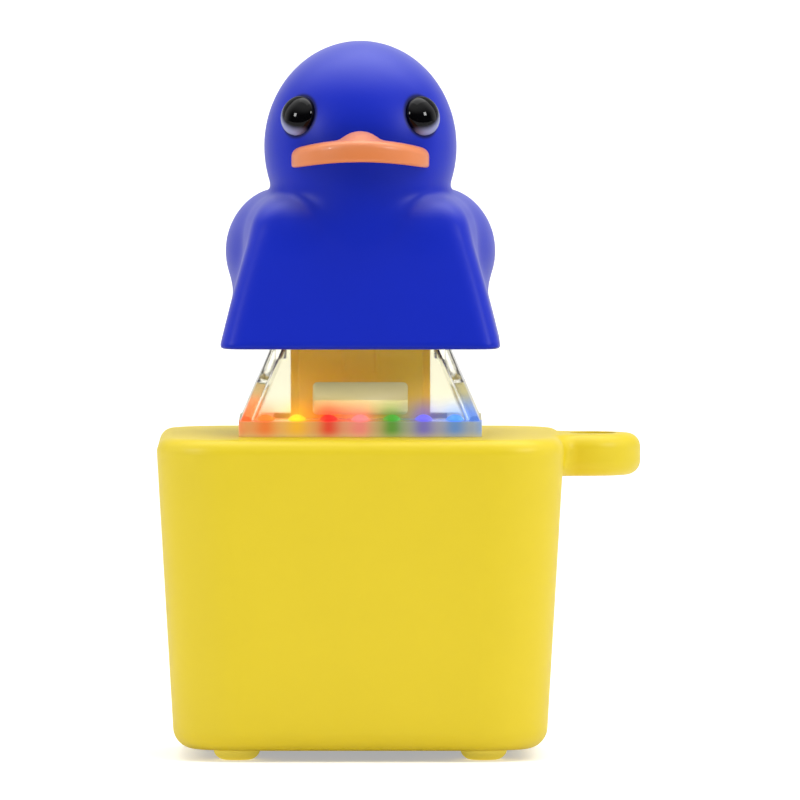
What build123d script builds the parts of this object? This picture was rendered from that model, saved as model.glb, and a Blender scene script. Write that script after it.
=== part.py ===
"""Clicker toy: a duck-shaped key on a clear mechanical key switch, over a battery base with a key-ring lug.

Millimetres, +Z up. The origin is on the key's axis, in the plane that the feet stand on. The duck faces -Y and
the key-ring lug points to +X. One STEP file is written for each piece.
"""

from build123d import *
import math
import os

# ---- Feet: soft plugs that also hide the cover screws
FOOT_RADIUS = 1.5
FOOT_HEIGHT = 0.7
FOOT_FLAT_RADIUS = 0.7
FOOT_BULGE = 0.15  # how far the side stands out from a straight slope
FOOT_PLUG_RADIUS = 1.35
FOOT_PLUG_DEPTH = 0.5
FOOT_EDGE_DISTANCE = 2.0  # foot centre to the cover's edge

# ---- Base shell, a drafted box with an open underside
BASE_BOTTOM_SIDE = 23.9
BASE_TOP_SIDE = 26.2
BASE_HEIGHT = 20.0
BASE_CORNER_RADIUS = 4.6
BASE_WALL = 1.95
BASE_TOP_FILLET = 0.9
BASE_BOTTOM_FILLET = 1.4
PLATE_THICKNESS = 1.5  # top wall, which the switch clips into
LID_OVERLAP = 1.0  # a cut's run past the face that it opens
PILLAR_HALF = 1.6
PILLAR_HEIGHT = 8.6

# ---- Key-ring lug
LUG_REACH = 4.95  # past the top of the base's wall
LUG_HALF_WIDTH = 3.7
LUG_THICKNESS = 2.7
LUG_FILLET = 0.95
LUG_ROOT_FILLET = 1.0
LUG_HOLE_RADIUS = 1.5
LUG_HOLE_RIM = 1.55  # hole edge to the lug's tip

# ---- Bottom cover
COVER_THICKNESS = 2.2
COVER_GAP = 0.08

# ---- Screws
COVER_SCREW_RADIUS = 0.8
COVER_SCREW_HEAD_RADIUS = 1.3
COVER_SCREW_HEAD_HEIGHT = 0.9
COVER_SCREW_LENGTH = 5.2
BOARD_SCREW_RADIUS = 0.7
BOARD_SCREW_HEAD_RADIUS = 1.25
BOARD_SCREW_HEAD_HEIGHT = 0.8
BOARD_SCREW_BITE = 2.7  # depth in the board post
HEAD_ROUNDING = 0.3  # of the head's height
SCREW_POINT = 1.5  # of the thread's radius
SCREW_POINT_END = 0.2  # of the thread's radius
DRIVE_SLOT = 0.35
DRIVE_REACH = 0.62  # of the head's radius
DRIVE_DEPTH = 0.5  # of the head's height
HOLE_GAP = 0.03  # a screw or pin in its hole
PILOT_SPARE = 0.3  # hole past the screw's end

# ---- Switch housings, for a 14 mm square plate opening
PLATE_OPENING = 14.0
TUB_SIDE = 13.9
TUB_DEPTH = 5.0
TUB_FLOOR = 1.0
TUB_CORNER_RADIUS = 0.4
TUB_CAVITY_HALF_X = 5.6
TUB_CAVITY_FRONT = -3.4
TUB_CAVITY_BACK = 6.1
FLANGE_SIDE = 15.6
FLANGE_HEIGHT = 1.0
FLANGE_CORNER_RADIUS = 0.6
CENTRE_POST_RADIUS = 2.0
CENTRE_POST_LENGTH = 3.0
PLATE_CLIP_REACH = 0.3
PLATE_CLIP_HALF_WIDTH = 2.0
PLATE_CLIP_HEIGHT = 0.9
PLATE_CLIP_GAP = 0.05  # under the plate
HOUSING_HEIGHT = 6.6  # top of the clear housing above the plate
HOUSING_BOTTOM_SIDE = 15.4
HOUSING_TOP_SIDE = 10.6
HOUSING_WALL = 0.7
HOUSING_ROOF = 0.8
HOUSING_CORNER_RADIUS = 0.7
HOUSING_INNER_RADIUS = 0.4
PANEL_WIDTH = 10.9  # upright panel on the front of the clear housing
PANEL_FRONT = 6.0
PANEL_MARGIN = 0.5  # panel's edge to the housing's foot and top
NAME_PAD_WIDTH = 6.1
NAME_PAD_HEIGHT = 1.9
NAME_PAD_FRONT = 7.0
NAME_PAD_RISE = 0.95  # above the switch flange
LATCH_WIDTH = 2.6
LATCH_HEIGHT = 2.2
LATCH_OFFSET = 3.9
LATCH_INNER_X = 5.4
LATCH_GAP = 0.08

# ---- Stem and spring
KEY_TRAVEL = 4.0
TRAVEL_SPARE = 0.2
STEM_HALF_X = 4.0
STEM_HALF_Y = 2.9
STEM_GAP = 0.1
RAIL_HALF_X = 4.5
RAIL_HALF_Y = 1.0
RAIL_TOP_GAP = 0.08
RIB_X = 1.05
RIB_HALF_WIDTH = 0.12
RIB_PROUD = 0.05
RIB_LOW = 3.9  # above the plate
CROSS_SPAN = 4.0
CROSS_ARM = 1.17
CROSS_HEIGHT = 3.6
POLE_RADIUS = 0.92
POLE_GAP = 0.08
POLE_DEPTH = 3.0  # pole end below the plate, key up
POLE_SPARE = 0.4  # bore below the pole's end, key down
GUIDE_TUBE_WALL = 0.55
GUIDE_TUBE_HEIGHT = 2.4
SPRING_RADIUS = 1.86  # to the middle of the wire
SPRING_WIRE_RADIUS = 0.14
SPRING_TURNS = 9
SPRING_END_GAP = 0.03
SPRING_POCKET_RADIUS = 2.3
SPRING_POCKET_TOP = 3.6  # above the plate

# ---- Contacts
LEAF_THICKNESS = 0.15
LEAF_HALF_WIDTH = 3.1
LEAF_Y = 4.6
LEAF_PIVOT_DEPTH = 3.6  # below the plate
LEAF_ROOT_RADIUS = 0.12  # rolled lower end, about which the leaf turns
LEAF_ROOT_GAP = 0.05
LEAF_BUMP_HEIGHT = 1.4  # above the plate
LEAF_BUMP_RADIUS = 0.2
LEAF_BUMP_HALF_WIDTH = 0.45
LEAF_TOP = 0.3  # above the bumps
LEAF_SLOT_INNER = 1.2
LEAF_SLOT_OUTER = 1.9
LEAF_SLOT_DEPTH = 2.4  # below the plate
LEAF_BUMP_TIP = 3.76
LEAF_TRAVEL = 0.33  # of the bump, over the whole key travel
CAM_X = 2.6
CAM_WIDTH = 1.0
CAM_GAP = 0.06
CAM_LOW = 0.5  # above the stem's lower edge
CAM_HIGH = 0.25  # below the housing's roof
FIXED_CONTACT_Y = 3.42
FIXED_CONTACT_HALF_WIDTH = 0.8
FIXED_CONTACT_TOP = 0.5  # above its button
FIXED_CONTACT_FOOT = 0.15
BUTTON_RADIUS = 0.35
BUTTON_PROUD = 0.25
BUTTON_HEIGHT = 0.8  # above the plate
CONTACTS_OPEN = 0.05  # left between the buttons, key down
PIN_X = 2.54
PIN_WIDTH = 1.0
PIN_THICKNESS = 0.3
PIN_HOLE_GAP = 0.05
PIN_CLEARANCE = 0.3  # round a pin where it passes the battery holder

# ---- Light strip, seven domed lamps in a row
LAMP_COLOURS = ["orange", "amber", "red", "pink", "green", "violet", "blue"]
LAMP_RADIUS = 0.7
LAMP_BODY_HEIGHT = 0.4
LAMP_PITCH = 2.03
STRIP_THICKNESS = 0.25
STRIP_DEPTH = 1.6
STRIP_END = 0.03  # strip past the outer lamps
STRIP_PIN_RADIUS = 0.25
STRIP_PIN_PITCH = 2.54
LAMP_POCKET_FRONT_WALL = 0.95
LAMP_POCKET_GAP = 0.08

# ---- Board and battery
BOARD_THICKNESS = 1.2
BOARD_X = 20.6
BOARD_Y = 17.0
BOARD_CORNER_RADIUS = 1.0
BOARD_POST_HOLE_GAP = 0.05
BOARD_POST_X = 8.9
BOARD_POST_RADIUS = 1.6
CHIP_HALF_X = 0.8
CHIP_HALF_Y = 1.45
CHIP_HEIGHT = 1.1
CHIP_STANDOFF = 0.12
CHIP_CHAMFER = 0.15
CHIP_INSET = (0.6, 2.2)  # chip centre from the post's line and the board's front edge
LEAD_PITCH = 0.95
LEAD_HALF_WIDTH = 0.2
LEAD_THICKNESS = 0.15
LEAD_REACH = 0.5  # past the chip's side
RESISTOR_HALF_X = 0.8
RESISTOR_HALF_Y = 0.4
RESISTOR_HEIGHT = 0.45
RESISTOR_EDGE = 1.2  # resistor centre from the board's edge
RESISTOR_PITCH = 1.4
CELL_RADIUS = 5.8
CELL_HEIGHT = 3.05
CELL_BUTTON_HEIGHT = 0.25
CELL_BUTTON_RADIUS = 4.6
CELL_COUNT = 3
CELL_FILLET = 0.25
CELL_GAP = 0.25
HOLDER_WALL = 0.95
HOLDER_LIFT = 0.05  # above the lower strap
HOLDER_EAR = 1.2
HOLDER_EAR_HALF_WIDTH = 1.8
STRAP_THICKNESS = 0.2
STRAP_HALF_WIDTH = 1.3
STRAP_GAP = 0.25  # upright leg to the holder's outside
STRAP_INSET = 0.5  # upright leg to the holder's inside

# ---- Key: a keycap skirt that grows into a duck
SKIRT_SIDE = 18.1
SKIRT_TOP_SIDE = 12.7
SKIRT_HEIGHT = 9.4
SKIRT_WALL = 1.15
SKIRT_CORNER_RADIUS = 0.9
SKIRT_INNER_RADIUS = 0.6
SKIRT_TOP_FILLET = 1.4
SKIRT_CLEARANCE = 0.65  # above the switch flange, key down
CEILING_CLEARANCE = 0.3  # above the clear housing, key down
CORE_THICKNESS = 1.2
CORE_GAP = 0.05
SOCKET_RADIUS = 2.75
SOCKET_DEPTH = 3.7
SOCKET_GAP = 0.03
SOCKET_LIFT = 0.05  # above the clear housing's top, key up
HEAD_RADIUS = 6.2
HEAD_HALF_HEIGHT = 6.8
HEAD_Y = -1.2
HEAD_RISE = 12.85  # head centre above the skirt's edge
BACK_RADIUS = 5.9
BACK_HALF_LENGTH = 7.6
BACK_Y = 1.3
BACK_DROP = 5.35  # back's middle below the skirt's top
WING_SIZE = (3.4, 5.2, 3.9)  # half sizes of each wing
WING_X = 5.3
WING_Y = 1.2
WING_RISE = 6.05  # wing centre above the skirt's edge
TAIL_RADIUS = 2.0
TAIL_HALF_LENGTH = 3.8
TAIL_LIFT = 38.0
TAIL_Y = 7.0
TAIL_DROP = 2.2  # tail's middle below the skirt's top
EYE_RADIUS = 1.3
EYE_DOME = 0.7
EYE_SHANK = 0.9
EYE_X = 4.0
EYE_RISE = 2.08  # above the head's centre
EYE_GAP = 0.04
BILL_HALF_WIDTH = 4.42
BILL_THICKNESS = 1.25
BILL_SAG = 0.5
BILL_TOP_SAG = 0.675
BILL_DROP = 0.1  # middle of the bill below the head's centre
BILL_REACH = 3.0  # past the front of the head
BILL_ROOT = 2.8  # inside the head
BILL_STRAIGHT = 1.68  # straight sides at the root
BILL_FILLET = 0.3
BILL_GAP = 0.04
RIDGE_SIZE = (1.3, 2.0, 0.8)  # half sizes
RIDGE_SET_BACK = 0.5
RIDGE_RISE = 0.55

# ---- Levels worked out from the sizes above
base_bottom = FOOT_HEIGHT
plate = base_bottom + BASE_HEIGHT
plate_under = plate - PLATE_THICKNESS
tub_bottom = plate - TUB_DEPTH
tub_floor = tub_bottom + TUB_FLOOR
flange_top = plate + FLANGE_HEIGHT
housing_top = plate + HOUSING_HEIGHT
housing_roof = housing_top - HOUSING_ROOF
board_top = tub_bottom
board_under = board_top - BOARD_THICKNESS
cover_top = base_bottom + COVER_THICKNESS
stem_bottom = tub_floor + KEY_TRAVEL + TRAVEL_SPARE
skirt_bottom = flange_top + KEY_TRAVEL + SKIRT_CLEARANCE
skirt_top = skirt_bottom + SKIRT_HEIGHT
ceiling = housing_top + KEY_TRAVEL + CEILING_CLEARANCE
core_top = ceiling + CORE_THICKNESS
cells_bottom = cover_top + STRAP_THICKNESS
cells_top = cells_bottom + CELL_COUNT * CELL_HEIGHT
head_z = skirt_bottom + HEAD_RISE
head_front = HEAD_Y - HEAD_RADIUS
pin_bottom = tub_bottom - CENTRE_POST_LENGTH

cavity_bottom_side = BASE_BOTTOM_SIDE - 2 * BASE_WALL
cover_side = cavity_bottom_side - 2 * COVER_GAP
foot_xy = cover_side / 2 - FOOT_EDGE_DISTANCE
lug_tip = BASE_TOP_SIDE / 2 + LUG_REACH
lug_hole_x = lug_tip - LUG_HOLE_RIM - LUG_HOLE_RADIUS
lug_top = plate
lug_bottom = lug_top - LUG_THICKNESS
strip_y = -(FLANGE_SIDE / 2 - LAMP_POCKET_FRONT_WALL - LAMP_POCKET_GAP - STRIP_DEPTH / 2)
strip_half_x = LAMP_PITCH * (len(LAMP_COLOURS) - 1) / 2 + LAMP_RADIUS + STRIP_END
holder_inner = CELL_RADIUS + CELL_GAP
holder_outer = holder_inner + HOLDER_WALL


def along(low, high, t):
    return low + (high - low) * t


def block(x0, x1, y0, y1, z0, z1):
    """A box given by its limits."""
    return Pos((x0 + x1) / 2, (y0 + y1) / 2, (z0 + z1) / 2) * Box(x1 - x0, y1 - y0, z1 - z0)


def rod(x, y, radius, z0, z1):
    """An upright round bar given by its ends."""
    return Pos(x, y, (z0 + z1) / 2) * Cylinder(radius, z1 - z0)


def rounded_block(side, radius, z0, z1):
    return extrude(Plane.XY.offset(z0) * RectangleRounded(side, side, radius), z1 - z0)


def tapered_block(side0, side1, radius0, radius1, z0, z1):
    """A square block with rounded corners whose side changes from side0 at z0 to side1 at z1."""
    low = Plane.XY.offset(z0) * RectangleRounded(side0, side0, radius0)
    high = Plane.XY.offset(z1) * RectangleRounded(side1, side1, radius1)
    return loft(Sketch() + [low, high])


def egg(radius, half_length):
    """An ellipsoid of revolution about Z, centred on the origin."""
    half = Ellipse(radius, half_length) & Pos(radius, 0) * Rectangle(2 * radius, 2 * half_length)
    return revolve(Plane.XZ * half, Axis.Z)


def corners(xy):
    return [(sx * xy, sy * xy) for sx in (-1, 1) for sy in (-1, 1)]


# ------------------------------------------------------------------ base


def base_side(z):
    return along(BASE_BOTTOM_SIDE, BASE_TOP_SIDE, (z - base_bottom) / BASE_HEIGHT)


def edges_at(body, z):
    """Edges that lie wholly at one height."""
    near = 0.01
    below = [e for e in body.edges() if e.bounding_box().max.Z < z + near]
    return [e for e in below if e.bounding_box().min.Z > z - near]


def edges_beside_lug(body):
    """The two upright edges where the lug leaves the box."""
    near = 0.1
    beside = [e for e in body.edges() if abs(abs(e.center().Y) - LUG_HALF_WIDTH) < near]
    upright = [e for e in beside if e.bounding_box().size.Z > 0.8 * LUG_THICKNESS]
    return [e for e in upright if e.bounding_box().max.X < base_side(plate) / 2 + near]


def base_outside():
    """The drafted box and its lug as one solid, with every outer edge rounded."""
    box = tapered_block(
        BASE_BOTTOM_SIDE, BASE_TOP_SIDE, BASE_CORNER_RADIUS, BASE_CORNER_RADIUS, base_bottom, plate
    )
    lug_round = rod(lug_tip - LUG_HALF_WIDTH, 0, LUG_HALF_WIDTH, lug_bottom, lug_top)
    lug_neck = block(0, lug_tip - LUG_HALF_WIDTH, -LUG_HALF_WIDTH, LUG_HALF_WIDTH, lug_bottom, lug_top)
    body = box + lug_round + lug_neck
    body = fillet(edges_beside_lug(body), LUG_ROOT_FILLET)
    body = fillet(edges_at(body, plate), BASE_TOP_FILLET)
    lug_root_x = base_side(lug_bottom) / 2 + LUG_ROOT_FILLET / 5
    lug_under = [e for e in edges_at(body, lug_bottom) if e.center().X > lug_root_x]
    body = fillet(lug_under, LUG_FILLET)
    return fillet(edges_at(body, base_bottom), BASE_BOTTOM_FILLET)


def base_shell():
    shell = base_outside()
    inner_top_side = base_side(plate_under) - 2 * BASE_WALL
    inner_corner = BASE_CORNER_RADIUS - BASE_WALL
    shell -= tapered_block(
        cavity_bottom_side, inner_top_side, inner_corner, inner_corner, base_bottom, plate_under
    )
    within = tapered_block(
        BASE_BOTTOM_SIDE - BASE_WALL, BASE_TOP_SIDE - BASE_WALL,
        BASE_CORNER_RADIUS, BASE_CORNER_RADIUS, base_bottom, plate,
    )
    reach = BASE_TOP_SIDE / 2
    near = foot_xy - PILLAR_HALF
    for sx, sy in corners(1):
        x0, x1 = sorted((sx * near, sx * reach))
        y0, y1 = sorted((sy * near, sy * reach))
        shell += block(x0, x1, y0, y1, cover_top, cover_top + PILLAR_HEIGHT) & within
    for x, y in corners(foot_xy):
        screw_end = base_bottom + FOOT_PLUG_DEPTH + COVER_SCREW_HEAD_HEIGHT + COVER_SCREW_LENGTH
        shell -= rod(x, y, COVER_SCREW_RADIUS + HOLE_GAP, cover_top - LID_OVERLAP, screw_end + PILOT_SPARE)
    for sx in (-1, 1):
        shell += rod(sx * BOARD_POST_X, 0, BOARD_POST_RADIUS, board_top, plate_under + PLATE_THICKNESS / 2)
        pilot_end = board_top + BOARD_SCREW_BITE + PILOT_SPARE
        shell -= rod(sx * BOARD_POST_X, 0, BOARD_SCREW_RADIUS + HOLE_GAP, board_top - LID_OVERLAP, pilot_end)
    half = PLATE_OPENING / 2
    shell -= block(-half, half, -half, half, plate_under - LID_OVERLAP, plate + LID_OVERLAP)
    shell -= rod(lug_hole_x, 0, LUG_HOLE_RADIUS, lug_bottom - LID_OVERLAP, lug_top + LID_OVERLAP)
    return shell


def bottom_cover():
    cover = rounded_block(cover_side, BASE_CORNER_RADIUS - BASE_WALL - COVER_GAP, base_bottom, cover_top)
    seat = base_bottom + FOOT_PLUG_DEPTH + COVER_SCREW_HEAD_HEIGHT
    for x, y in corners(foot_xy):
        cover -= rod(x, y, FOOT_PLUG_RADIUS + HOLE_GAP, base_bottom - LID_OVERLAP, seat)
        cover -= rod(x, y, COVER_SCREW_RADIUS + HOLE_GAP, seat - LID_OVERLAP, cover_top + LID_OVERLAP)
    return cover


def foot(x, y):
    """A domed foot with a plug that fills the mouth of its screw hole."""
    plug_top = base_bottom + FOOT_PLUG_DEPTH
    middle = ((FOOT_FLAT_RADIUS + FOOT_RADIUS) / 2 + FOOT_BULGE, base_bottom / 2 - FOOT_BULGE)
    dome = ThreePointArc((FOOT_FLAT_RADIUS, 0), middle, (FOOT_RADIUS, base_bottom))
    rest = Polyline(
        (FOOT_RADIUS, base_bottom),
        (FOOT_PLUG_RADIUS, base_bottom),
        (FOOT_PLUG_RADIUS, plug_top),
        (0, plug_top),
        (0, 0),
        (FOOT_FLAT_RADIUS, 0),
    )
    return Pos(x, y, 0) * revolve(Plane.XZ * make_face(Curve() + [dome, rest]), Axis.Z)


def screw(x, y, z_head, head_radius, head_height, radius, end):
    """A pan-head screw, head down, with a cross recess in its lower face."""
    body = rod(x, y, head_radius, z_head, z_head + head_height)
    body = fillet(body.edges().group_by(Axis.Z)[0], HEAD_ROUNDING * head_height)
    tip = end - SCREW_POINT * radius
    body += rod(x, y, radius, z_head + head_height, tip)
    body += Pos(x, y, (tip + end) / 2) * Cone(radius, SCREW_POINT_END * radius, end - tip)
    reach, half = DRIVE_REACH * head_radius, DRIVE_SLOT / 2
    low, high = z_head - LID_OVERLAP, z_head + DRIVE_DEPTH * head_height
    body -= block(x - reach, x + reach, y - half, y + half, low, high)
    body -= block(x - half, x + half, y - reach, y + reach, low, high)
    return body


def cover_screws():
    head = base_bottom + FOOT_PLUG_DEPTH
    end = head + COVER_SCREW_HEAD_HEIGHT + COVER_SCREW_LENGTH
    sizes = (COVER_SCREW_HEAD_RADIUS, COVER_SCREW_HEAD_HEIGHT, COVER_SCREW_RADIUS)
    return [screw(x, y, head, *sizes, end) for x, y in corners(foot_xy)]


def board_screws():
    head = board_under - HOLDER_EAR - BOARD_SCREW_HEAD_HEIGHT
    end = board_top + BOARD_SCREW_BITE
    sizes = (BOARD_SCREW_HEAD_RADIUS, BOARD_SCREW_HEAD_HEIGHT, BOARD_SCREW_RADIUS)
    return [screw(sx * BOARD_POST_X, 0, head, *sizes, end) for sx in (-1, 1)]


# ------------------------------------------------------------------ battery and board


def button_cell(z):
    """One coin cell, its smaller pole downwards."""
    can = rod(0, 0, CELL_RADIUS, z + CELL_BUTTON_HEIGHT, z + CELL_HEIGHT)
    can = fillet(can.edges().group_by(Axis.Z)[-1], CELL_FILLET)
    return can + rod(0, 0, CELL_BUTTON_RADIUS, z, z + CELL_BUTTON_HEIGHT)


def battery_holder():
    low = cells_bottom + HOLDER_LIFT
    ears = block(
        -BOARD_POST_X - BOARD_SCREW_HEAD_RADIUS, BOARD_POST_X + BOARD_SCREW_HEAD_RADIUS,
        -HOLDER_EAR_HALF_WIDTH, HOLDER_EAR_HALF_WIDTH, board_under - HOLDER_EAR, board_under,
    )
    holder = rod(0, 0, holder_outer, low, board_under) + ears
    holder -= rod(0, 0, holder_inner, low - LID_OVERLAP, board_under + LID_OVERLAP)
    for sx in (-1, 1):
        holder -= rod(sx * BOARD_POST_X, 0, BOARD_SCREW_RADIUS + HOLE_GAP, low, board_under + LID_OVERLAP)
    for x, y in contact_pins_at():
        holder -= block(*pin_limits(x, y, PIN_CLEARANCE), pin_bottom - PIN_CLEARANCE, board_under + LID_OVERLAP)
    return holder


def positive_strap():
    reach = holder_inner - STRAP_INSET
    half = STRAP_HALF_WIDTH
    strap = block(-reach, reach, -half, half, cells_top, cells_top + STRAP_THICKNESS)
    for sx in (-1, 1):
        x0, x1 = sorted((sx * reach, sx * (reach - STRAP_THICKNESS)))
        strap += block(x0, x1, -half, half, cells_top, board_under)
    return strap


def negative_strap():
    leg = holder_outer + STRAP_GAP
    half = STRAP_HALF_WIDTH
    strap = block(-half, half, -CELL_BUTTON_RADIUS, leg + STRAP_THICKNESS, cover_top, cells_bottom)
    strap += block(-half, half, leg, leg + STRAP_THICKNESS, cover_top, board_under)
    return strap


def contact_pins_at():
    """The switch's two pins: the fixed contact's and the leaf's."""
    return [(PIN_X, FIXED_CONTACT_Y), (-PIN_X, LEAF_Y)]


def strip_pins_at():
    return [(STRIP_PIN_PITCH * (i - 1.5), strip_y) for i in range(4)]


def main_board():
    outline = Plane.XY.offset(board_under) * RectangleRounded(BOARD_X, BOARD_Y, BOARD_CORNER_RADIUS)
    board = extrude(outline, BOARD_THICKNESS)
    over = (board_under - LID_OVERLAP, board_top + LID_OVERLAP)
    board -= rod(0, 0, CENTRE_POST_RADIUS + BOARD_POST_HOLE_GAP, *over)
    for sx in (-1, 1):
        board -= rod(sx * BOARD_POST_X, 0, BOARD_SCREW_RADIUS + HOLE_GAP, *over)
    for x, y in strip_pins_at():
        board -= rod(x, y, STRIP_PIN_RADIUS + HOLE_GAP, *over)
    for x, y in contact_pins_at():
        board -= block(*pin_limits(x, y, PIN_HOLE_GAP), *over)
    return board


def driver_chip():
    """A small six-lead driver chip under the board."""
    x, y = BOARD_POST_X - CHIP_INSET[0], -BOARD_Y / 2 + CHIP_INSET[1]
    low, high = board_under - CHIP_HEIGHT, board_under - CHIP_STANDOFF
    body = block(x - CHIP_HALF_X, x + CHIP_HALF_X, y - CHIP_HALF_Y, y + CHIP_HALF_Y, low, high)
    chip = chamfer(body.edges().group_by(Axis.Z)[0], CHIP_CHAMFER)
    outer = CHIP_HALF_X + LEAD_REACH
    for row in (-1, 0, 1):
        y0 = y + row * LEAD_PITCH - LEAD_HALF_WIDTH
        for x0 in (x - outer, x + CHIP_HALF_X - LEAD_HALF_WIDTH):
            x1 = x0 + LEAD_REACH + LEAD_HALF_WIDTH
            chip += block(x0, x1, y0, y0 + 2 * LEAD_HALF_WIDTH, board_under - LEAD_THICKNESS, board_under)
    return chip


def chip_resistors():
    x, edge = -BOARD_POST_X + CHIP_INSET[0], BOARD_Y / 2 - RESISTOR_EDGE
    return [
        block(x - RESISTOR_HALF_X, x + RESISTOR_HALF_X, y - RESISTOR_HALF_Y, y + RESISTOR_HALF_Y,
              board_under - RESISTOR_HEIGHT, board_under)
        for y in (-edge, RESISTOR_PITCH - edge, edge)
    ]


# ------------------------------------------------------------------ switch


def pin_limits(x, y, grow=0.0):
    w, t = PIN_WIDTH / 2 + grow, PIN_THICKNESS / 2 + grow
    return x - w, x + w, y - t, y + t


def housing_side(z, inset=0.0):
    """Side of the clear housing at height z, taken in by inset on each side."""
    t = (z - flange_top) / (housing_top - flange_top)
    return along(HOUSING_BOTTOM_SIDE, HOUSING_TOP_SIDE, t) - 2 * inset


def housing_hollow(z1):
    return tapered_block(
        housing_side(flange_top, HOUSING_WALL), housing_side(z1, HOUSING_WALL),
        HOUSING_INNER_RADIUS, HOUSING_INNER_RADIUS, flange_top, z1,
    )


def latch_slots(grow):
    """The four windows at the foot of the clear housing's left and right walls, as blocks."""
    half = LATCH_WIDTH / 2 + grow
    top = flange_top + LATCH_HEIGHT + grow
    slots = []
    for sx, sy in corners(1):
        x0, x1 = sorted((sx * LATCH_INNER_X, sx * FLANGE_SIDE / 2))
        slots.append(block(x0, x1, sy * LATCH_OFFSET - half, sy * LATCH_OFFSET + half, flange_top, top))
    return slots


def housing_skin():
    radius = HOUSING_CORNER_RADIUS
    return tapered_block(HOUSING_BOTTOM_SIDE, HOUSING_TOP_SIDE, radius, radius, flange_top, housing_top)


def upper_housing():
    shell = housing_skin()
    panel, pad = PANEL_WIDTH / 2, NAME_PAD_WIDTH / 2
    inside = -STEM_HALF_Y - STEM_GAP
    shell += block(-panel, panel, -PANEL_FRONT, inside, flange_top + PANEL_MARGIN, housing_top - PANEL_MARGIN)
    pad_low = flange_top + NAME_PAD_RISE
    shell += block(-pad, pad, -NAME_PAD_FRONT, inside, pad_low, pad_low + NAME_PAD_HEIGHT)
    shell -= housing_hollow(housing_roof)
    half = panel - HOUSING_WALL
    shell -= block(-half, half, HOUSING_WALL - PANEL_FRONT, inside, flange_top, housing_roof)
    half_x = STEM_HALF_X + STEM_GAP
    shell -= block(-half_x, half_x, inside, -inside, housing_roof - LID_OVERLAP, housing_top + LID_OVERLAP)
    for slot in latch_slots(LATCH_GAP):
        shell -= slot
    return shell


def lower_housing():
    over = flange_top + LID_OVERLAP
    tub = rounded_block(TUB_SIDE, TUB_CORNER_RADIUS, tub_bottom, plate)
    tub += rounded_block(FLANGE_SIDE, FLANGE_CORNER_RADIUS, plate, flange_top)
    tub -= block(-TUB_CAVITY_HALF_X, TUB_CAVITY_HALF_X, TUB_CAVITY_FRONT, TUB_CAVITY_BACK, tub_floor, over)
    pocket_front = -(FLANGE_SIDE / 2 - LAMP_POCKET_FRONT_WALL)
    pocket_back = strip_y + STRIP_DEPTH / 2 + LAMP_POCKET_GAP
    pocket_half = strip_half_x + LAMP_POCKET_GAP
    tub -= block(-pocket_half, pocket_half, pocket_front, pocket_back, plate, over)
    tub += rod(0, 0, CENTRE_POST_RADIUS, pin_bottom, tub_floor)
    bore = POLE_RADIUS + POLE_GAP
    guide_top = tub_floor + GUIDE_TUBE_HEIGHT
    tub += rod(0, 0, bore + GUIDE_TUBE_WALL, tub_floor, guide_top)
    tub -= rod(0, 0, bore, plate - POLE_DEPTH - KEY_TRAVEL - POLE_SPARE, guide_top + LID_OVERLAP)
    for x, y in strip_pins_at():
        tub -= rod(x, y, STRIP_PIN_RADIUS + HOLE_GAP, tub_bottom - LID_OVERLAP, plate + STRIP_THICKNESS)
    for x, y in contact_pins_at():
        tub -= block(*pin_limits(x, y, PIN_HOLE_GAP), tub_bottom - LID_OVERLAP, tub_floor + TUB_FLOOR / 2)
    clip_top = plate_under - PLATE_CLIP_GAP
    clip_half, reach = PLATE_CLIP_HALF_WIDTH, TUB_SIDE / 2
    for sy in (-1, 1):
        y0, y1 = sorted((sy * (reach - PLATE_CLIP_REACH), sy * (reach + PLATE_CLIP_REACH)))
        tub += block(-clip_half, clip_half, y0, y1, clip_top - PLATE_CLIP_HEIGHT, clip_top)
    wall = housing_skin() - housing_hollow(flange_top + LATCH_HEIGHT + LID_OVERLAP)
    for slot in latch_slots(0.0):
        tub += wall & slot
    return tub


def stem():
    """The slider: body with a spring pocket, side rails, a cross on top, a guide pole and two leaf cams."""
    body = block(-STEM_HALF_X, STEM_HALF_X, -STEM_HALF_Y, STEM_HALF_Y, stem_bottom, housing_top)
    rail_top = housing_roof - RAIL_TOP_GAP
    body += block(-RAIL_HALF_X, RAIL_HALF_X, -RAIL_HALF_Y, RAIL_HALF_Y, stem_bottom, rail_top)
    for x in (-RIB_X, RIB_X):
        x0, x1 = x - RIB_HALF_WIDTH, x + RIB_HALF_WIDTH
        body += block(x0, x1, -STEM_HALF_Y - RIB_PROUD, -STEM_HALF_Y + RIB_PROUD, plate + RIB_LOW, housing_top)
    half = CROSS_SPAN / 2
    body += block(-half, half, -CROSS_ARM / 2, CROSS_ARM / 2, housing_top, housing_top + CROSS_HEIGHT)
    body += block(-CROSS_ARM / 2, CROSS_ARM / 2, -half, half, housing_top, housing_top + CROSS_HEIGHT)
    pocket_top = plate + SPRING_POCKET_TOP
    body -= rod(0, 0, SPRING_POCKET_RADIUS, stem_bottom - LID_OVERLAP, pocket_top)
    body += rod(0, 0, POLE_RADIUS, plate - POLE_DEPTH, pocket_top + LID_OVERLAP / 2)
    slope = LEAF_TRAVEL / KEY_TRAVEL
    level = plate + LEAF_BUMP_HEIGHT
    face = LEAF_BUMP_TIP - CAM_GAP
    low, high = stem_bottom + CAM_LOW, housing_roof - CAM_HIGH
    root = STEM_HALF_Y - STEM_GAP
    face_low, face_high = (face - slope * (z - level) for z in (low, high))
    cam = make_face(Polyline((root, low), (face_low, low), (face_high, high), (root, high), close=True))
    for sx in (-1, 1):
        at = Plane.YZ.offset(sx * CAM_X - CAM_WIDTH / 2)
        body += extrude(at * cam, CAM_WIDTH)
    return body


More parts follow.
